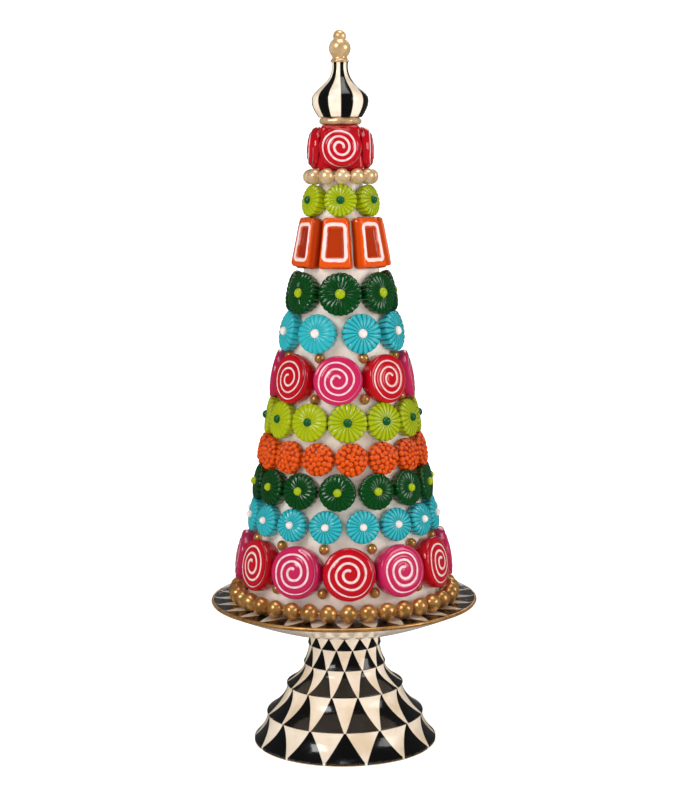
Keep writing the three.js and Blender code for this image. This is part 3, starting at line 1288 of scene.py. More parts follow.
@dataclass(frozen=True)
class FlutedSweet:
    """A domed sweet with rounded ribs that run over its edge, and a pearl on its crown.

    Attributes:
        open_steps: How many points of the outline are left out at the axis.
        rib_rise: Between these shares of the radius the ribs rise from the crown.
        rib_fall: Between these shares of the radius they fade by the edge's fade.
        rib_level: The part of a rib that lies on the outline.
        shade_share: How much of the depth of a groove is painted darkest, as painted shade between the ribs.
    """

    ribs: int = 20
    columns_per_rib: int = 6
    rows: int = 24
    seat: float = 0.8
    girth: float = 0.55
    fullness: float = 2.35
    rib_depth: float = 0.075
    rib_fullness: float = 0.6
    rib_level: float = 0.85
    rib_rise: tuple[float, float] = (0.096, 0.896)
    rib_fall: tuple[float, float] = (0.875, 1.0)
    edge_fade: float = 0.5
    open_steps: int = 8
    unevenness: float = 0.025
    shade_share: float = 0.08
    twist: float = 0.08
    dimple: float = 0.0007
    dimple_width: float = 0.4
    pearl: float = 0.23
    pearl_rise: float = 0.0029
    pearl_seat: float = 0.0004
    pearl_root: float = 0.001
    pearl_neck: float = 0.7
    pearl_rows: int = 10
    pearl_columns: int = 28

    def blank(self, radius: float, proud: float, seed: int) -> Skin:
        """Makes a fluted sweet about +Z.

        Args:
            radius: The sweet's radius.
            proud: The height of its pearl's top.
            seed: Which uneven form it takes.

        Returns:
            The sweet and its pearl, which has the second finish.
        """
        top = proud - self.pearl_rise + self.pearl_seat
        outline = [wall(radius, self.seat, self.girth * proud)]
        outline.append(dome(radius, self.girth * proud, top, self.fullness)[1 : -self.open_steps])
        columns = self.ribs * self.columns_per_rib
        track = np.concatenate(outline)
        track[:, 1] -= self.dimple * np.exp(-((track[:, 0] / (self.dimple_width * radius)) ** 2))
        rings = turned(evenly(track, self.rows), columns)
        reach = np.hypot(rings[..., 0], rings[..., 1]) / radius
        angle = np.arctan2(rings[..., 1], rings[..., 0]) + self.twist * (1 - reach)
        ridge = np.abs(np.cos(self.ribs / 2 * angle)) ** self.rib_fullness
        rise = np.interp(reach, self.rib_rise, (0.0, 1.0))
        fall = self.edge_fade * np.interp(reach, self.rib_fall, (0.0, 1.0))
        depth = self.rib_depth * radius * rise * (1 - fall)
        rings = rings + outward(rings) * ((ridge - self.rib_level) * depth)[..., None]
        rings = lumpy(rings, np.zeros(3), seed, self.unevenness)
        body = closed(rings, np.zeros(3), rings[-1].mean(axis=0))
        # Painted shade: the grooves between the ribs take the glaze's darker colour.
        body.painted["relief"] = with_ends((1 + self.shade_share) * ridge - self.shade_share)
        return joined([body, self.crown_pearl(radius, proud)])

    def crown_pearl(self, radius: float, proud: float) -> Skin:
        """The pearl on a fluted sweet's crown.

        Args:
            radius: The sweet's radius.
            proud: The height of the pearl's top.

        Returns:
            The pearl's skin, with the second finish.
        """
        width = self.pearl * radius
        rise = self.pearl_rise + self.pearl_seat
        outline = dome(width, proud - rise, proud, ROUND, self.pearl_rows)[:-1]
        neck = [[self.pearl_neck * width, proud - rise - self.pearl_root]]
        rings = turned(np.concatenate([neck, outline]), self.pearl_columns)
        tip = np.array([0.0, 0.0, proud])
        pearl = closed(rings, tip - [0.0, 0.0, rise + self.pearl_root], tip)
        return pearl.marked(1).paint_all(relief=1.0)


@dataclass(frozen=True)
class SwirlDisc:
    """A thick round sweet with a domed face and a spiral of raised ridges.

    Attributes:
        face_edge: The height of the face's edge, as a share of the disc's.
        face_radius: How wide the face is, as a share of the disc.
        face_middle: How near its middle the face is built, as a share of the disc.
        ridged_radius: How wide the ridged part is.
        ridge_fade: How far in from there the ridges are full.
        ridge_level: The part of a ridge that lies on the outline.
        groove_relief: How dark a groove is painted, as painted shade, where 0 is darkest.
        side_relief: How dark the side wall is painted, as painted shade.
        waver: How much the spiral wavers, as a share of the disc.
        waves: How fast it wavers, in radians for each radius.
    """

    spiral: Spiral
    columns: int = 90
    rows: int = 46
    seat: float = 0.9
    girth: float = 0.55
    face_edge: float = 0.86
    face_radius: float = 0.94
    face_middle: float = 0.02
    ridged_radius: float = 0.94
    crown: float = 1.04
    ridge: float = 0.00055
    ridge_fade: float = 0.05
    ridge_level: float = 0.6
    groove_relief: float = 0.25
    side_relief: float = 0.7
    waver: float = 0.014
    waves: float = 5.0

    def blank(self, radius: float, proud: float, seed: int) -> Skin:
        """Makes a swirl disc about +Z.

        Args:
            radius: The disc's radius.
            proud: How far its face stands off the seat.
            seed: Which uneven form it takes.

        Returns:
            The disc's skin.
        """
        girth, crown = self.girth * proud, self.crown * proud
        edge = self.face_edge * proud
        outline = [wall(radius, self.seat, girth)]
        outline.append(self.shoulder(radius, girth, edge)[1:])
        reach = np.linspace(self.face_radius, self.face_middle, FACE_STEPS)[1:]
        bulge = edge + (crown - edge) * (1 - (reach / self.face_radius) ** 2)
        outline.append(np.stack([reach * radius, bulge], axis=1))
        rings = turned(evenly(np.concatenate(outline), self.rows), self.columns)
        x, y = rings[..., 0] / radius, rings[..., 1] / radius
        rng = np.random.default_rng(seed)
        bend, sway = rng.uniform(0, TURN, 2)
        across = self.waver * np.sin(self.waves * y + bend)
        up = self.waver * np.sin(self.waves * x + sway)
        x, y = x + across, y + up
        fade = np.clip((self.ridged_radius - np.hypot(x, y)) / self.ridge_fade, 0, 1)
        on_face = fade * (rings[..., 2] > girth)
        ridge = self.spiral.relief(x, y)
        rings[..., 2] += self.ridge * (ridge - self.ridge_level) * on_face
        body = closed(rings, np.zeros(3), rings[-1].mean(axis=0))
        # Painted shade: the glaze is painted darker along the spiral's grooves and over the side wall.
        relief = self.groove_relief + (1 - self.groove_relief) * ridge
        body.painted["relief"] = with_ends(np.where(on_face > 0, relief, self.side_relief))
        body.painted["face"] = with_ends(np.stack([x, y, np.zeros_like(x)], axis=-1))
        return body

    def shoulder(self, radius: float, girth: float, edge: float) -> np.ndarray:
        """The outline from the girth round into the face.

        Args:
            radius: The disc's radius.
            girth: The height of its girth.
            edge: The height of its face's edge.

        Returns:
            Radius and height of each point.
        """
        sweep = np.linspace(0.0, RIGHT_ANGLE, SHOULDER_STEPS)
        inner = self.face_radius * radius
        reach = inner + (radius - inner) * np.cos(sweep)
        return np.stack([reach, girth + (edge - girth) * np.sin(sweep)], axis=1)


@dataclass(frozen=True)
class Berry:
    """A dome of tight round drupelets.

    Attributes:
        drupelet: A drupelet's radius.
        spacing: How far apart the drupelets of a ring are.
        packing: How far apart the rings are, as a share of the spacing.
        lowest: Only above this height there are drupelets.
        inset: How far the core lies inside the berry.
        open_steps: How many points of the outline are left out at the axis.
        reach_shift: How far a drupelet strays from its ring, as a share of the rings' step.
        angle_shift: How far it strays along its ring, as a share of the drupelets' step.
        sizes: The smallest and the largest drupelet, as shares.
        shade_share: How much of the depth of a gap is painted darkest, as painted shade between the drupelets.
    """

    columns: int = 130
    rows: int = 38
    seat: float = 0.85
    girth: float = 0.5
    fullness: float = 2.5
    drupelet: float = 0.0021
    spacing: float = 0.0041
    packing: float = 0.92
    lowest: float = 0.0012
    inset: float = 0.0017
    open_steps: int = 6
    reach_shift: float = 0.1
    angle_shift: float = 0.12
    sizes: tuple[float, float] = (0.92, 1.1)
    shade_share: float = 0.5

    def blank(self, radius: float, proud: float, seed: int) -> Skin:
        """Makes a berry about +Z.

        Args:
            radius: The berry's radius.
            proud: How far it stands off its seat.
            seed: How its drupelets lie.

        Returns:
            The berry's skin.
        """
        core, top = radius - self.inset, proud - self.inset
        girth = self.girth * proud
        crown = dome(core, girth, top, self.fullness)[1:]
        track = np.concatenate([wall(core, self.seat, girth), crown])
        rings = turned(evenly(track[: -self.open_steps], self.rows), self.columns)
        middles, sizes = self.drupelets(track[::-1], seed)
        gap = np.linalg.norm(rings[..., None, :] - middles, axis=-1)
        bulge = np.sqrt(np.maximum(sizes**2 - gap**2, 0.0)).max(axis=-1)
        rings = rings + outward(rings) * bulge[..., None]
        body = closed(rings, np.zeros(3), rings[-1].mean(axis=0))
        # Painted shade: the gaps between the drupelets take the glaze's darker colour.
        relief = bulge / self.drupelet * (1 + self.shade_share) - self.shade_share
        body.painted["relief"] = with_ends(np.clip(relief, 0, 1))
        return body

    def drupelets(self, track: np.ndarray, seed: int) -> tuple[np.ndarray, np.ndarray]:
        """Spreads drupelets over a berry's core in uneven rings.

        Args:
            track: The core's outline, from its crown down.
            seed: How they lie.

        Returns:
            The middle of each drupelet, and its radius.
        """
        rng = np.random.default_rng(seed)
        steps = np.hypot(*np.diff(track, axis=0).T)
        along = np.concatenate([[0.0], np.cumsum(steps)])
        middles = []
        step = self.packing * self.spacing
        for ring in range(int(along[-1] / step) + 1):
            count = max(1, round(TURN * np.interp(ring * step, along, track[:, 0]) / self.spacing))
            reach = (ring + rng.uniform(-self.reach_shift, self.reach_shift, count)) * step
            shift = rng.uniform(-self.angle_shift, self.angle_shift, count)
            angle = (np.arange(count) + shift) * TURN / count + rng.uniform(0, TURN)
            radius, height = (np.interp(reach, along, values) for values in track.T)
            ring_middles = [radius * np.cos(angle), radius * np.sin(angle), height]
            middles.append(np.stack(ring_middles, axis=1))
        spread = np.concatenate(middles)
        spread = spread[spread[:, 2] > self.lowest]
        return spread, self.drupelet * rng.uniform(*self.sizes, len(spread))


@dataclass(frozen=True)
class Block:
    """An upright sweet that is wider at its foot, with a framed pocket in its stepped face.

    Attributes:
        taper: How far its walls draw in from its seat up to its step.
        step_at: The height of the step, as a share of the block's.
        pocket_half: Half of the pocket's width and of its height.
        pocket_flare: How much further its sides are out at its foot.
        pocket_draft: How large the pocket is at its floor, as a share.
        foot_levels: How many levels there are from the seat to the step.
        bevel_sweep: The angles of the bevel's levels, and how many there are.
        face_levels: How many levels there are from the bevel to the pocket's rim.
        pocket_sweep: The angles of the pocket's levels, and how many there are.
        floor_levels: The floor's levels, as shares of its size.
        relief: The painted value on the face, where the glaze takes no painted shade.
        pocket_shade_power: How suddenly the painted shade deepens towards the pocket's floor.
    """

    height: float = 0.0404
    top_width: float = 0.0204
    bevel: float = 0.0017
    taper: float = 0.0013
    step: float = 0.0008
    step_at: float = 0.45
    rounding: float = 0.003
    pocket_half: tuple[float, float] = (0.0069, 0.0127)
    pocket_flare: float = 0.0007
    pocket_rounding: float = 0.0017
    pocket_depth: float = 0.0024
    pocket_draft: float = 0.86
    frame_width: float = 0.0028
    frame_rise: float = 0.0005
    unevenness: float = 0.014
    columns: int = 112
    foot_levels: int = 5
    bevel_sweep: Sweep = (15.0, 90.0, 6)
    face_levels: int = 10
    pocket_sweep: Sweep = (20.0, 90.0, 5)
    floor_levels: tuple[float, float] = (0.66, 0.33)
    relief: float = 0.8
    pocket_shade_power: int = 6

    def outline(self, foot_width: float, inset: float) -> np.ndarray:
        """The block's outline, drawn in by an inset."""
        foot = foot_width / 2 - inset
        top = self.top_width / 2 - inset
        half = self.height / 2 - inset
        corners = np.array([[foot, -half], [top, half], [-top, half], [-foot, -half]])
        return rounded(corners, self.rounding, self.columns)

    def pocket(self, share: float) -> np.ndarray:
        """The pocket's outline at a share of its size."""
        x, y = self.pocket_half
        foot, top = x + self.pocket_flare, x - self.pocket_flare
        corners = np.array([[foot, -y], [top, y], [-top, y], [-foot, -y]]) * share
        return rounded(corners, self.pocket_rounding, self.columns)

    def blank(self, radius: float, proud: float, seed: int) -> Skin:
        """Makes a block about +Z.

        Args:
            radius: Half of the block's width at its foot.
            proud: The height of its face.
            seed: Which uneven form it takes.

        Returns:
            The block's skin.
        """
        edge = proud - self.bevel
        levels = self.walls(2 * radius, proud * self.step_at, edge)
        face, rim = levels[-1][0], self.pocket(1.0)
        for share in np.linspace(0, 1, self.face_levels + 1)[1:]:
            levels.append(((1 - share) * face + share * rim, proud))
        for sweep in np.radians(np.linspace(*self.pocket_sweep)):
            depth = self.pocket_depth * math.sin(sweep)
            draft = 1 - (1 - self.pocket_draft) * (1 - math.cos(sweep))
            levels.append((self.pocket(draft), proud - depth))
        floor, height = levels[-1]
        levels.extend((floor * share, height) for share in self.floor_levels)
        rings = np.stack([np.column_stack([o, np.full(len(o), z)]) for o, z in levels])
        off = self.off_pocket(rings)
        swell = np.clip(off / self.frame_width, 0, 1)
        on_face = rings[..., 2] > proud - self.bevel / 2
        rings[..., 2] += self.frame_rise * np.sin(math.pi * swell) * on_face * (off > 0)
        rings = lumpy(rings, np.array([0.0, 0.0, proud / 2]), seed, self.unevenness)
        body = closed(rings, np.zeros(3), rings[-1].mean(axis=0))
        body.painted["off_pocket"] = with_ends(off)
        # Painted shade: the walls are painted darker down to the seat, and the pocket down to its floor.
        below = proud - rings[..., 2]
        on_wall, in_pocket = np.clip(below / proud, 0, 1), np.clip(below / self.pocket_depth, 0, 1)
        sunk = np.where(off > 0, on_wall, in_pocket**self.pocket_shade_power)
        body.painted["relief"] = with_ends(self.relief - self.relief * sunk)
        return body

    def walls(self, foot_width: float, low: float, edge: float) -> list[tuple[np.ndarray, float]]:
        """The levels from the block's seat over its step and its bevel.

        Args:
            foot_width: The block's width at its foot.
            low: The height of the step.
            edge: The height where the bevel starts.

        Returns:
            The outline and the height of each level.
        """
        shares = np.linspace(0, 1, self.foot_levels)
        insets = [(self.taper * (1 - share) ** 3, low * share) for share in shares]
        insets += [(self.step, low + self.step), (self.step, (low + edge) / 2), (self.step, edge)]
        for sweep in np.radians(np.linspace(*self.bevel_sweep)):
            inset = self.step + self.bevel * (1 - math.cos(sweep))
            insets.append((inset, edge + self.bevel * math.sin(sweep)))
        return [(self.outline(foot_width, inset), height) for inset, height in insets]

    def off_pocket(self, rings: np.ndarray) -> np.ndarray:
        """How far outside the pocket's rim each point lies, which is negative inside it.

        Args:
            rings: The block's rings.

        Returns:
            The distance, in metres.
        """
        half_x, half_y = (half - self.pocket_rounding for half in self.pocket_half)
        x = np.abs(rings[..., 0]) - half_x + self.pocket_flare * rings[..., 1] / half_y
        y = np.abs(rings[..., 1]) - half_y
        outside = np.hypot(np.maximum(x, 0), np.maximum(y, 0))
        return outside + np.minimum(np.maximum(x, y), 0) - self.pocket_rounding


def material(finish: Finish) -> bpy.types.Material:
    """A finish's material, which is made once."""
    if finish not in MATERIALS:
        MATERIALS[finish] = finish.material()
    return MATERIALS[finish]


MATERIALS: dict[Finish, bpy.types.Material] = {}


def stand_for(piece: bpy.types.Object, slot: str, *nodes: str) -> None:
    """Gives a piece its place in the frame.

    Args:
        piece: The piece.
        slot: The record's material slot that it takes its finish from.
        *nodes: The CAD nodes that it replaces.
    """
    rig.ride(piece, BODY)
    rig.slot(piece, slot)
    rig.replaces(piece, *nodes)
    LOG.info("%s: %d faces, for %s", piece.name, len(piece.data.polygons), ", ".join(nodes))


def seated(sweet: Sweet, row: Row, cone: Cone, index: int, spin: float) -> Skin:
    """Makes one sweet of a row and fits its seat to the cone.

    Args:
        sweet: The kind of sweet.
        row: The row.
        cone: The cone.
        index: Which one of the row it is.
        spin: How far it is turned about its own axis.

    Returns:
        The sweet's skin, in place.
    """
    skin = sweet.blank(row.radius(index), row.proud, SEED_STRIDE * row.kind + index)
    place = row.place(cone, index, spin)
    girth = SEAT_SHARE * row.proud
    low = skin.points[:, 2] < girth
    flat = skin.points[low] * [1.0, 1.0, 0.0]
    share = 1 - np.clip(skin.points[low, 2] / girth, 0, 1)
    skin.points[low, 2] += cone.drop(place, flat) * share
    tone = 0.5 + 0.5 * unevenness(index, row.kind + TONE_SHIFT)
    return skin.paint_all(tone=tone).moved(place)


@dataclass(frozen=True)
class SeatedRow:
    """A row whose sweets are separate pieces, one for each CAD node."""

    row: Row
    sweet: Sweet
    finishes: tuple[tuple[str, Finish], ...]
    pearl: Union[Finish, None] = None
    spins: bool = True

    def dress(self, cone: Cone) -> None:
        """Makes the row's sweets.

        Args:
            cone: The cone that they sit on.
        """
        for index in range(self.row.count):
            slot, finish = self.finishes[index % len(self.finishes)]
            finishes = [material(finish)] + ([material(self.pearl)] if self.pearl else [])
            spin = self.row.spin(index) if self.spins else 0.0
            skin = seated(self.sweet, self.row, cone, index, spin)
            name = f"{self.row.name}_{index + 1}"
            stand_for(skin.piece("glazed_" + name, finishes, Crease.CAST), slot, name)


@dataclass(frozen=True)
class FusedRow:
    """A row that is of one piece with the cone, and is one joined piece here."""

    row: Row
    sweet: Sweet
    slot: str
    finishes: tuple[Finish, ...]

    def dress(self, cone: Cone) -> None:
        """Makes the row's sweets as one piece.

        Args:
            cone: The cone that they sit on.
        """
        skins = [
            seated(self.sweet, self.row, cone, index, self.row.spin(index))
            for index in range(self.row.count)
        ]
        finishes = [material(finish) for finish in self.finishes]
        made = joined(skins).piece(self.row.name, finishes, Crease.RIBBED)
        stand_for(made, self.slot, "cone")


@dataclass(frozen=True)
class SmallBeads:
    """The small gold beads between the rows of sweets.

    Attributes:
        diameter: How wide each is.
        off: How far their middles are off the cone, as a share of their radius.
        lumps: How uneven they are, as a share of their radius.
        sides: How many points go round each.
        rows: The count, the height and the first one's angle of each row.
    """

    diameter: float = 0.0083
    off: float = 0.5
    lumps: float = 0.03
    sides: int = 20
    rows: tuple[tuple[int, float, float], ...] = (
        (8, 0.319, 22.0),
        (8, 0.2873, 20.0),
        (12, 0.1732, -12.1),
        (12, 0.1396, -12.1),
    )

    def dress(self, cone: Cone) -> None:
        """Makes the beads as one piece.

        Args:
            cone: The cone that they sit on.
        """
        radius = self.diameter / 2
        beads = []
        for count, height, phase in self.rows:
            reach = cone.radius_at(height) + self.off * radius
            for index in range(count):
                angle = math.radians(phase + 360 * index / count)
                middle = np.array([reach * math.sin(angle), -reach * math.cos(angle), height])
                beads.append(globe(radius, middle, len(beads), self.lumps, self.sides))
        made = joined(beads).piece("small_gold_beads", [material(SHADED_GOLD)], Crease.CAST)
        stand_for(made, "gilt", "cone")


@dataclass(frozen=True)
class BeadRing:
    """Round beads that stand side by side in a ring, joined by short links.

    Attributes:
        name: What its piece is called.
        node: The CAD node that it replaces.
        count: How many beads go round.
        ring_radius: How far their middles are from the axis.
        height: The height of their middles.
        diameter: How wide each is.
        phase: The first one's angle from the front, in degrees.
        uneven: How much their sizes differ, as a share.
        finish: Their finish.
        link: The radius of the links.
        sway: How many degrees a bead strays, for each whole share of unevenness.
        lumps: How uneven each bead is, as a share of its radius.
        first_seed: The seed of the first bead's unevenness.
        sides: How many points go round each bead.
        link_sides: How many points go round a link.
        link_columns: How many go round the ring of links.
    """

    name: str
    node: str
    count: int
    ring_radius: float
    height: float
    diameter: float
    phase: float
    uneven: float
    finish: Finish
    link: float = 0.0012
    sway: float = 6.0
    lumps: float = 0.05
    first_seed: int = 500
    sides: int = 28
    link_sides: int = 8
    link_columns: int = 180

    def dress(self) -> None:
        """Makes the ring of beads as one piece."""
        rng = np.random.default_rng(self.count)
        skins = [self.links()]
        for index in range(self.count):
            nudge = rng.uniform(-1, 1) * self.uneven * self.sway
            angle = math.radians(self.phase + 360 * index / self.count + nudge)
            radius = self.diameter / 2 * (1 + self.uneven * rng.uniform(-1, 1))
            flat = self.ring_radius * np.array([math.sin(angle), -math.cos(angle), 0.0])
            middle = flat + [0.0, 0.0, self.height]
            skins.append(globe(radius, middle, self.first_seed + index, self.lumps, self.sides))
        made = joined(skins).piece(self.name, [material(self.finish)], Crease.CAST)
        stand_for(made, "gilt", self.node)

    def links(self) -> Skin:
        """The thin ring that shows as a short link between two beads.

        Returns:
            The ring's skin.
        """
        columns, sides = self.link_columns, self.link_sides
        around = TURN * np.arange(sides) / sides
        reach = self.ring_radius + self.link * np.cos(around)
        level = self.height + self.link * np.sin(around)
        rings = turned(np.stack([reach, level], axis=1), columns)
        here = np.arange(sides * columns).reshape(sides, columns)
        after, above = np.roll(here, -1, axis=1), np.roll(here, -1, axis=0)
        corner = np.roll(above, -1, axis=1)
        faces = np.stack([here, after, corner, above], axis=-1).reshape(-1, 4)
        return Skin(rings.reshape(-1, 3), faces, np.zeros(len(faces), int))


@dataclass(frozen=True)
class Crown:
    """Four swirl discs round a squared core, which end the cone.

    Attributes:
        finish: The discs' finish.
        disc: The discs' shape.
        foot: The height of the core's foot.
        hip: Below this height the core draws in, by the foot's inset.
        brow: Above this height it draws in, by the top's inset.
        height: The height of the middle of the discs.
        radius: How far the core's flats are from the axis there.
        taper: How much less that gets for each metre of height.
        diameter: How wide each disc is.
        proud: How far each stands off its flat.
        squareness: 2 for a round core, and more for a squarer one.
        first_seed: The seed of the first disc's unevenness.
    """

    finish: Finish
    disc: SwirlDisc
    foot: float = 0.464
    hip: float = 0.4676
    brow: float = 0.4965
    top: float = 0.5
    foot_inset: float = 0.003
    top_inset: float = 0.0018
    height: float = 0.4828
    radius: float = 0.017
    taper: float = 0.07
    discs: int = 4
    diameter: float = 0.0341
    proud: float = 0.0094
    squareness: float = 9.0
    first_seed: int = 900
    columns: int = 96
    rows: int = 40

    def flat(self, height: Any) -> Any:
        """How far the core's flats are from the axis."""
        low = np.clip((self.hip - height) / (self.hip - self.foot), 0, 1)
        high = np.clip((height - self.brow) / (self.top - self.brow), 0, 1)
        drawn_in = self.foot_inset * low**2 + self.top_inset * high**2
        return self.radius - self.taper * (height - self.height) - drawn_in

    def dress(self) -> None:
        """Makes the core and its discs."""
        core = self.core().paint_all(relief=1.0, tone=0.5)
        glaze = material(Glaze("red_glaze", Paint.RED))
        stand_for(core.piece("crown_body", [glaze], Crease.CAST), "glaze_red", "crown_core")
        lean = math.atan(self.taper)
        seat = self.height - self.proud * math.sin(lean)
        for index in range(self.discs):
            skin = self.disc.blank(self.diameter / 2, self.proud, self.first_seed + index)
            place = facing(TURN * index / self.discs, self.flat(seat), seat, lean, 0.0)
            made = skin.paint_all(tone=0.5).moved(place)
            name = f"crown_disc_{index + 1}"
            piece = made.piece(name, [material(self.finish)], Crease.CAST)
            stand_for(piece, "glaze_red", f"crown_swirl_{index + 1}")

    def core(self) -> Skin:
        """The squared core.

        Returns:
            The core's skin.
        """
        level = np.linspace(self.foot, self.top, self.rows)
        angle = TURN * np.arange(self.columns) / self.columns
        power = self.squareness
        reach = (np.abs(np.cos(angle)) ** power + np.abs(np.sin(angle)) ** power) ** (-1 / power)
        rings = turned(np.stack([self.flat(level), level], axis=1), self.columns)
        rings[..., :2] *= reach[None, :, None]
        foot, tip = (np.array([0.0, 0.0, height]) for height in (self.foot, self.top))
        return closed(rings, foot, tip)


@dataclass(frozen=True)
class Finial:
    """A gold collar, a striped onion and a gold knob.

    Attributes:
        collar_tube: How thick the collar is, as a share of the room for it.
        collar_reach: How wide it is, as a share of its full radius.
        collar_swells: The waves round it: how many, how far out each, and where it starts.
        collar_dips: How many waves go up and down round it, and how high they are.
        onion_curve: The points that pull the onion's side out and then in.
        ball: The ball's radius and the height of its middle.
        tip: The same of the smaller ball on it.
    """

    collar_foot: float = 0.5003
    collar_top: float = 0.5063
    collar_radius: float = 0.0173
    collar_tube: float = 0.92
    collar_reach: float = 0.97
    collar_sweep: Sweep = (-90.0, 90.0, 14)
    collar_swells: tuple[tuple[int, float, float], ...] = ((5, 0.02, 0.0), (11, 0.015, 1.0))
    collar_dips: tuple[int, float] = (7, 0.0002)
    onion_foot: float = 0.5064
    onion_top: float = 0.549
    onion_foot_radius: float = 0.0172
    onion_neck: float = 0.0065
    onion_curve: tuple[tuple[float, float], ...] = ((0.0346, 0.531), (0.0038, 0.5259))
    onion_rows: int = 52
    cup_foot: float = 0.5491
    cup_radius: float = 0.0075
    cup_lip: float = 0.0009
    cup_sweep: Sweep = (-90.0, 60.0, 8)
    knob_neck: float = 0.0058
    knob_neck_rise: float = 0.0036
    ball: tuple[float, float] = (0.0086, 0.560)
    ball_sweep: Sweep = (-42.0, 62.0, 22)
    tip: tuple[float, float] = (0.0052, 0.5693)
    tip_sweep: Sweep = (-25.0, 84.0, 18)
    columns: int = 112
    knob_columns: int = 72

    def dress(self) -> None:
        """Makes the three pieces."""
        gilt, enamel = [material(Gilt())], [material(StripedEnamel())]
        collar = self.collar().piece("gold_collar", gilt, Crease.ROUND)
        stand_for(collar, "gilt", "finial_collar")
        onion = lathe(self.onion_profile(), self.columns)
        striped = onion.piece("striped_onion", enamel, Crease.TURNED)
        stand_for(striped, "finial_enamel", "finial_onion")
        knob = lathe(self.knob_profile(), self.knob_columns)
        stand_for(knob.piece("gold_knob", gilt, Crease.ROUND), "gilt", "finial_knob")

    def collar(self) -> Skin:
        """The uneven gold ring under the onion.

        Returns:
            The ring's skin.
        """
        middle = (self.collar_foot + self.collar_top) / 2
        half = (self.collar_top - self.collar_foot) / 2
        tube = half * self.collar_tube
        outline = arc((self.collar_radius - half, middle), tube, self.collar_sweep)
        rings = turned(outline, self.columns)
        angle = np.arctan2(rings[..., 1], rings[..., 0])
        swell = np.ones_like(angle)
        for waves, share, start in self.collar_swells:
            swell = swell + share * np.sin(waves * angle + start)
        rings[..., :2] *= swell[..., None] * self.collar_reach
        dips, rise = self.collar_dips
        rings[..., 2] += rise * np.sin(dips * angle)
        foot, top = (np.array([0.0, 0.0, middle + side * tube]) for side in (-1, 1))
        return closed(rings, foot, top)

    def onion_profile(self) -> np.ndarray:
        """The onion's outline, a single curve from its foot to its neck.

        Returns:
            Radius and height of each point.
        """
        share = np.linspace(0.0, 1.0, CURVE_STEPS)[:, None]
        first = np.array([self.onion_foot_radius, self.onion_foot])
        last = np.array([self.onion_neck, self.onion_top])
        bulge, waist = np.array(self.onion_curve)
        rest = 1 - share
        curve = rest**3 * first + 3 * rest**2 * share * bulge + 3 * rest * share**2 * waist
        return evenly(curve + share**3 * last, self.onion_rows)

    def knob_profile(self) -> np.ndarray:
        """The knob's outline: a cup, a ball and a smaller ball.

        Returns:
            Radius and height of each point.
        """
        lip = self.cup_lip
        cup = arc((self.cup_radius - lip, self.cup_foot + lip), lip, self.cup_sweep)
        neck = [[self.knob_neck, self.cup_foot + self.knob_neck_rise]]
        ball = arc((0.0, self.ball[1]), self.ball[0], self.ball_sweep)
        tip = arc((0.0, self.tip[1]), self.tip[0], self.tip_sweep)
        return np.concatenate([cup, neck, ball, tip])


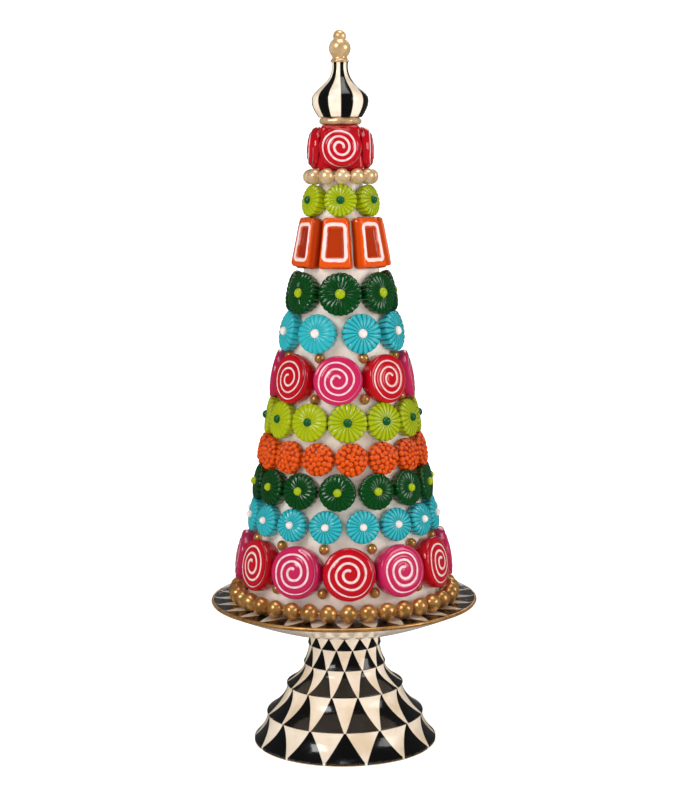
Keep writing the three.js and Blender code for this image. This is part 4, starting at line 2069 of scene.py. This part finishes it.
@dataclass(frozen=True)
class FootedPlate:
    """The flared foot and the round plate on it, in one piece.

    Attributes:
        rim_radius: The radius of the foot's rim.
        lips: Radius and height of each lip of the foot, from the lowest up.
        neck: Radius and height of the neck under the plate.
        rim_low: The height of the foot of the plate's rim.
        rim_tuck: How far inside the plate's edge its underside ends.
        gold_width: How wide the gilt is.
        gold_foot: Only above this height there is gilt.
        floor: The height of the plate's top.
        belly: How far its underside sags.
        middle: How near the axis the plate's top is built.
        plate_border: Between these radii the plate's black points lie.
        bell_end: How far up its row a bell's last point is.
        border_end: The same of the plate's border.
    """

    rim_radius: float = 0.0745
    rim_height: float = 0.003
    lips: tuple[tuple[float, float], ...] = (
        (0.0641, 0.0245),
        (0.0477, 0.0481),
        (0.0334, 0.066),
        (0.0298, 0.0817),
    )
    lip_round: float = 0.0007
    lip_sweep: Sweep = (-70.0, 40.0, 5)
    foot_round: float = 0.001
    bell_end: float = 0.98
    neck: tuple[float, float] = (0.0295, 0.0906)
    radius: float = 0.108
    rim_low: float = 0.1174
    rim_top: float = 0.12
    rim_width: float = 0.005
    rim_tuck: float = 0.0006
    rim_sweep: Sweep = (-80.0, 110.0, 14)
    gold_width: float = 0.0028
    gold_foot: float = 0.1
    floor: float = 0.119
    belly: float = 0.0022
    middle: float = 0.002
    bell_rows: int = 12
    under_rows: int = 40
    top_rows: int = 60
    columns: int = 224
    plate_border: tuple[float, float] = (0.078, 0.1045)
    border_end: float = 0.99

    def dress(self) -> None:
        """Makes the stand as one piece."""
        profile, rows, gold = self.outline()
        skin = lathe(profile, self.columns)
        skin.painted["row"] = np.concatenate([np.repeat(rows, self.columns), [0.0, 0.0]])
        walls = (len(profile) - 1) * self.columns
        skin.marks[:walls] = np.repeat(gold[:-1] & gold[1:], self.columns)
        finishes = [material(PointedEnamel()), material(SHADED_GOLD)]
        made = skin.piece("footed_plate", finishes, Crease.ENAMELLED)
        stand_for(made, "stand_enamel", "stand")

    def bell(self, lower: tuple[float, float], upper: tuple[float, float]) -> np.ndarray:
        """One flared bell of the foot, from its lower edge up to the lip above.

        Args:
            lower: Radius and height of its lower edge.
            upper: Radius and height of the lip above it.

        Returns:
            Radius, height and how far up the bell each point is, from 0 to 1.
        """
        flare = np.linspace(1.0, 0.0, self.bell_rows)
        top = upper[0] - self.lip_round
        radius = top + (lower[0] - top) * flare**2
        height = upper[1] + (lower[1] - upper[1]) * flare
        return np.stack([radius, height, 1 - flare], axis=1)

    def outline(self) -> tuple[np.ndarray, np.ndarray, np.ndarray]:
        """The stand's outline.

        Returns:
            Radius and height of each point, its place in the rows of black points, and
            whether it is gilt.
        """
        foot, plate = self.foot(), self.plate()
        profile = np.concatenate([foot[:, :2], plate])
        inner, outer = self.plate_border
        place = np.clip((outer - plate[:, 0]) / (outer - inner), 0.0, self.border_end)
        on_top = (plate[:, 1] >= self.floor - LEVEL) & (plate[:, 0] > inner)
        rows = np.concatenate([foot[:, 2], np.where(on_top, PLATE_ROW + place, 0.0)])
        at_rim = profile[:, 0] > self.radius - self.gold_width
        return profile, rows, at_rim & (profile[:, 1] > self.gold_foot)

    def foot(self) -> np.ndarray:
        """The foot's outline, from its rim up to the neck.

        Returns:
            Radius, height and place in the rows of black points, of each point.
        """
        round_edge = self.foot_round
        points = [[self.rim_radius - round_edge, 0.0, 0.0], [self.rim_radius, round_edge, 1.0]]
        lower = (self.rim_radius, self.rim_height)
        for number, upper in enumerate([*self.lips, self.neck], start=1):
            bell = self.bell(lower, upper)
            bell[:, 2] = number + self.bell_end * bell[:, 2]
            points.extend(bell.tolist())
            if number <= len(self.lips):
                lip = arc((upper[0] - self.lip_round, upper[1]), self.lip_round, self.lip_sweep)
                points.extend([radius, height, number + 1.0] for radius, height in lip)
            lower = upper
        return np.array(points)

    def plate(self) -> np.ndarray:
        """The plate's outline, from the neck round its rim to the middle of its top.

        Returns:
            Radius and height of each point.
        """
        reach = np.linspace(0.0, 1.0, self.under_rows)[1:, None]
        start, end = np.array(self.neck), np.array([self.radius - self.rim_tuck, self.rim_low])
        under = start + (end - start) * reach
        under[:, 1:] -= self.belly * np.sin(math.pi * reach)
        middle, half = (self.rim_low + self.rim_top) / 2, (self.rim_top - self.rim_low) / 2
        rim = arc((self.radius - half, middle), half, self.rim_sweep)
        inner = np.linspace(self.radius - self.rim_width, self.middle, self.top_rows)
        top = np.stack([inner, np.full(self.top_rows, self.floor)], axis=1)
        return np.concatenate([under, rim, top])


# ---- The studio ----


@dataclass(frozen=True)
class Softbox:
    """A square soft light that faces the tree.

    Attributes:
        name: What it is called.
        place: Where it is.
        width: How wide it is.
        watts: Its power.
        mirrored: Whether the glaze mirrors it.
        target: What it faces.
    """

    name: str
    place: tuple[float, float, float]
    width: float
    watts: float
    mirrored: bool = True
    target: tuple[float, float, float] = (0.0, 0.0, 0.28)

    def dress(self) -> None:
        """Makes the light, which shows in the glaze if it is mirrored."""
        lamp = bpy.data.lights.new(self.name, "AREA")
        lamp.shape = "SQUARE"
        lamp.size = self.width
        lamp.energy = self.watts
        made = bpy.data.objects.new(self.name, lamp)
        made.location = self.place
        way = Vector(self.target) - Vector(self.place)
        made.rotation_euler = way.to_track_quat("-Z", "Y").to_euler()
        made.visible_glossy = self.mirrored
        bpy.context.scene.collection.objects.link(made)


@dataclass(frozen=True)
class Studio:
    """The pale floor, the light and the camera.

    Attributes:
        floor_radius: The radius of the flat part of the floor.
        sweep: The radius of the curve in which its edge rises.
        sky: The colour of the light from all around.
        sky_strength: How strong that is.
        distance: How far the camera is from the tree's axis.
        eye_height: How high it is.
        pitch: How far it looks down, in degrees.
        yaw: How far it is turned to the right, in degrees.
        roll: How far it leans to the right, in degrees.
        focal_pixels: Its focal length, in pixels of the photograph.
        picture_pixels: The photograph's longer side.
        sensor: The sensor's longer side, in millimetres.
    """

    floor_radius: float = 3.2
    sweep: float = 1.6
    floor_steps: int = 30
    floor_columns: int = 96
    sky: Colour = (1.0, 1.0, 1.0, 1.0)
    sky_strength: float = 0.09
    distance: float = 1.40769
    eye_height: float = 0.45865
    pitch: float = 7.1696
    yaw: float = 0.1563
    roll: float = 0.44056
    focal_pixels: float = 1759.73
    picture_pixels: int = 799
    sensor: float = 36.0
    softboxes: tuple[Softbox, ...] = (
        Softbox("key_light", (-1.15, -1.35, 1.35), width=0.7, watts=15.5),
        Softbox("side_light", (1.6, -0.8, 0.8), width=0.8, watts=9.5),
        Softbox("top_light", (0.1, -0.2, 2.0), width=1.0, watts=10.5),
        Softbox("back_light", (0.3, 1.9, 1.5), width=1.2, watts=11.0),
        Softbox("fill_light", (0.3, -2.4, 0.8), width=1.4, watts=4.5, mirrored=False),
    )

    def dress(self) -> None:
        """Makes the studio."""
        self.floor()
        self.camera()
        for softbox in self.softboxes:
            softbox.dress()
        world = bpy.data.worlds.new("pale_room")
        world.use_nodes = True
        background = world.node_tree.nodes["Background"]
        background.inputs["Color"].default_value = self.sky
        background.inputs["Strength"].default_value = self.sky_strength
        bpy.context.scene.world = world
        bpy.context.scene.view_settings.view_transform = "Standard"

    def floor(self) -> None:
        """A round floor that sweeps up at its edge, so that no horizon shows."""
        flat = np.linspace(self.floor_radius / self.floor_steps, self.floor_radius, self.floor_steps)
        level = np.stack([flat, np.zeros(self.floor_steps)], axis=1)
        steps = (-90.0, 0.0, self.floor_steps)
        curve = arc((self.floor_radius, self.sweep), self.sweep, steps)[1:]
        rings = turned(np.concatenate([level, curve]), self.floor_columns)
        whole = closed(rings, np.zeros(3), np.zeros(3))
        last = -self.floor_columns
        skin = Skin(whole.points[:-1], whole.faces[:last], whole.marks[:last])
        made = skin.piece("floor", [material(Paper())], Crease.ROUND)
        made.visible_glossy = False
        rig.stage(made)

    def camera(self) -> None:
        """Sets the camera where the photograph was taken from."""
        eye = bpy.data.cameras.new("camera")
        eye.sensor_width = self.sensor
        eye.lens = self.sensor * (self.focal_pixels / self.picture_pixels)
        made = bpy.data.objects.new("camera", eye)
        made.matrix_world = (
            Matrix.Rotation(math.radians(self.roll), 4, "Y")
            @ Matrix.Translation((0.0, -self.distance, self.eye_height))
            @ Matrix.Rotation(math.radians(90 - self.pitch), 4, "X")
            @ Matrix.Rotation(math.radians(-self.yaw), 4, "Y")
        )
        bpy.context.scene.collection.objects.link(made)
        bpy.context.scene.camera = made


def main() -> None:
    """Builds and dresses the tree from the foot up, and then the studio."""
    logging.basicConfig(level=logging.INFO, format="%(message)s")
    cone = Cone()
    fine = Spiral(inner_half=0.043, outer_half=0.027)
    fine_red = SwirlGlaze("fine_red_swirl", Paint.RED, spiral=fine)
    fine_pink = SwirlGlaze("fine_pink_swirl", Paint.PINK, spiral=fine)
    broad = Spiral(inner_half=0.051, outer_half=0.03)
    broad_red = SwirlGlaze("broad_red_swirl", Paint.RED, spiral=broad)
    broad_pink = SwirlGlaze("broad_pink_swirl", Paint.PINK, spiral=broad)
    lime, green = Glaze("lime_glaze", Paint.LIME), Glaze("green_glaze", Paint.GREEN)
    turquoise = Glaze("turquoise_glaze", Paint.TURQUOISE)
    white = Glaze("white_glaze", Paint.WHITE)
    lime_dot, green_dot = Glaze("lime_dot", Paint.LIME_DOT), Glaze("green_dot", Paint.GREEN_DOT)
    block = Block()
    framed = FramedGlaze("orange_framed", Paint.ORANGE, width=block.frame_width)
    berry = Glaze("orange_glaze", Paint.ORANGE)
    FootedPlate().dress()
    cone.dress()
    BeadRing(
        "base_bead_ring", "base_beads", count=36, ring_radius=0.0873, height=0.1263,
        diameter=0.0142, phase=-7.65, uneven=0.025, finish=SHADED_GOLD,
    ).dress()
    BeadRing(
        "upper_bead_ring", "upper_beads", count=12, ring_radius=0.0239, height=0.460,
        diameter=0.0124, phase=3.0, uneven=0.015, finish=Gilt(),
    ).dress()
    SmallBeads().dress(cone)
    SeatedRow(
        Row(
            "lime_candy", count=6, height=0.4423, diameter=0.0254,
            proud=0.0127, phase=-0.75, kind=0,
        ),
        FlutedSweet(pearl=0.26),
        (("glaze_lime", lime),),
        green_dot,
    ).dress(cone)
    SeatedRow(
        Row(
            "orange_block", count=7, height=0.4091, diameter=0.0272,
            proud=0.0094, phase=-7.7, kind=1,
        ),
        block,
        (("glaze_orange", framed),),
        spins=False,
    ).dress(cone)
    SeatedRow(
        Row(
            "green_candy", count=7, height=0.3700, diameter=0.0334,
            proud=0.0122, phase=-1.5, kind=2,
        ),
        FlutedSweet(ribs=22, pearl=0.24),
        (("glaze_green", green),),
        lime_dot,
    ).dress(cone)
    SeatedRow(
        Row(
            "turquoise_candy", count=8, height=0.3395, diameter=0.0314,
            proud=0.013, phase=19.6, kind=3,
        ),
        FlutedSweet(),
        (("glaze_turquoise", turquoise),),
        white,
    ).dress(cone)
    SeatedRow(
        Row(
            "swirl_upper", count=8, height=0.3035, diameter=0.0392,
            proud=0.0109, phase=-3.6, kind=4, turn=1.22, loose=0.5,
        ),
        SwirlDisc(fine),
        (("glaze_pink", fine_pink), ("glaze_red", fine_red)),
    ).dress(cone)
    SeatedRow(
        Row(
            "swirl_lower", count=12, height=0.1568, diameter=0.0411,
            proud=0.0138, phase=3.0, kind=5, turn=1.22, loose=0.3,
        ),
        SwirlDisc(broad),
        (("glaze_red", broad_red), ("glaze_pink", broad_pink)),
    ).dress(cone)
    FusedRow(
        Row(
            "lower_lime_row", count=12, height=0.2713, diameter=0.0304,
            proud=0.013, phase=3.7, kind=0,
        ),
        FlutedSweet(),
        "glaze_lime",
        (lime, green_dot),
    ).dress(cone)
    FusedRow(
        Row(
            "berry_row", count=15, height=0.2432, diameter=0.0262,
            proud=0.0116, phase=6.1, kind=1,
        ),
        Berry(),
        "glaze_orange",
        (berry,),
    ).dress(cone)
    FusedRow(
        Row(
            "lower_green_row", count=14, height=0.2185, diameter=0.0286,
            proud=0.0137, phase=-3.5, kind=2,
        ),
        FlutedSweet(),
        "glaze_green",
        (green, lime_dot),
    ).dress(cone)
    FusedRow(
        Row(
            "lower_turquoise_row", count=16, height=0.1921, diameter=0.026,
            proud=0.0132, phase=11.8, kind=3,
        ),
        FlutedSweet(),
        "glaze_turquoise",
        (turquoise, white),
    ).dress(cone)
    bold = Spiral(inner_half=0.058, outer_half=0.036)
    crown_disc = SwirlDisc(
        bold, seat=0.995, girth=0.1, face_edge=0.97, face_radius=0.3, crown=1.0
    )
    Crown(SwirlGlaze("crown_swirl", Paint.RED, spiral=bold), crown_disc).dress()
    Finial().dress()
    Studio().dress()


if __name__ == "__main__":
    main()
    with open(SIZE_FILE, "w", encoding="utf-8") as size_file:
        boxes = {"cad": CAD_BOX, "visual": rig.bounds()}
        json.dump({name: [list(corner) for corner in box] for name, box in boxes.items()}, size_file)
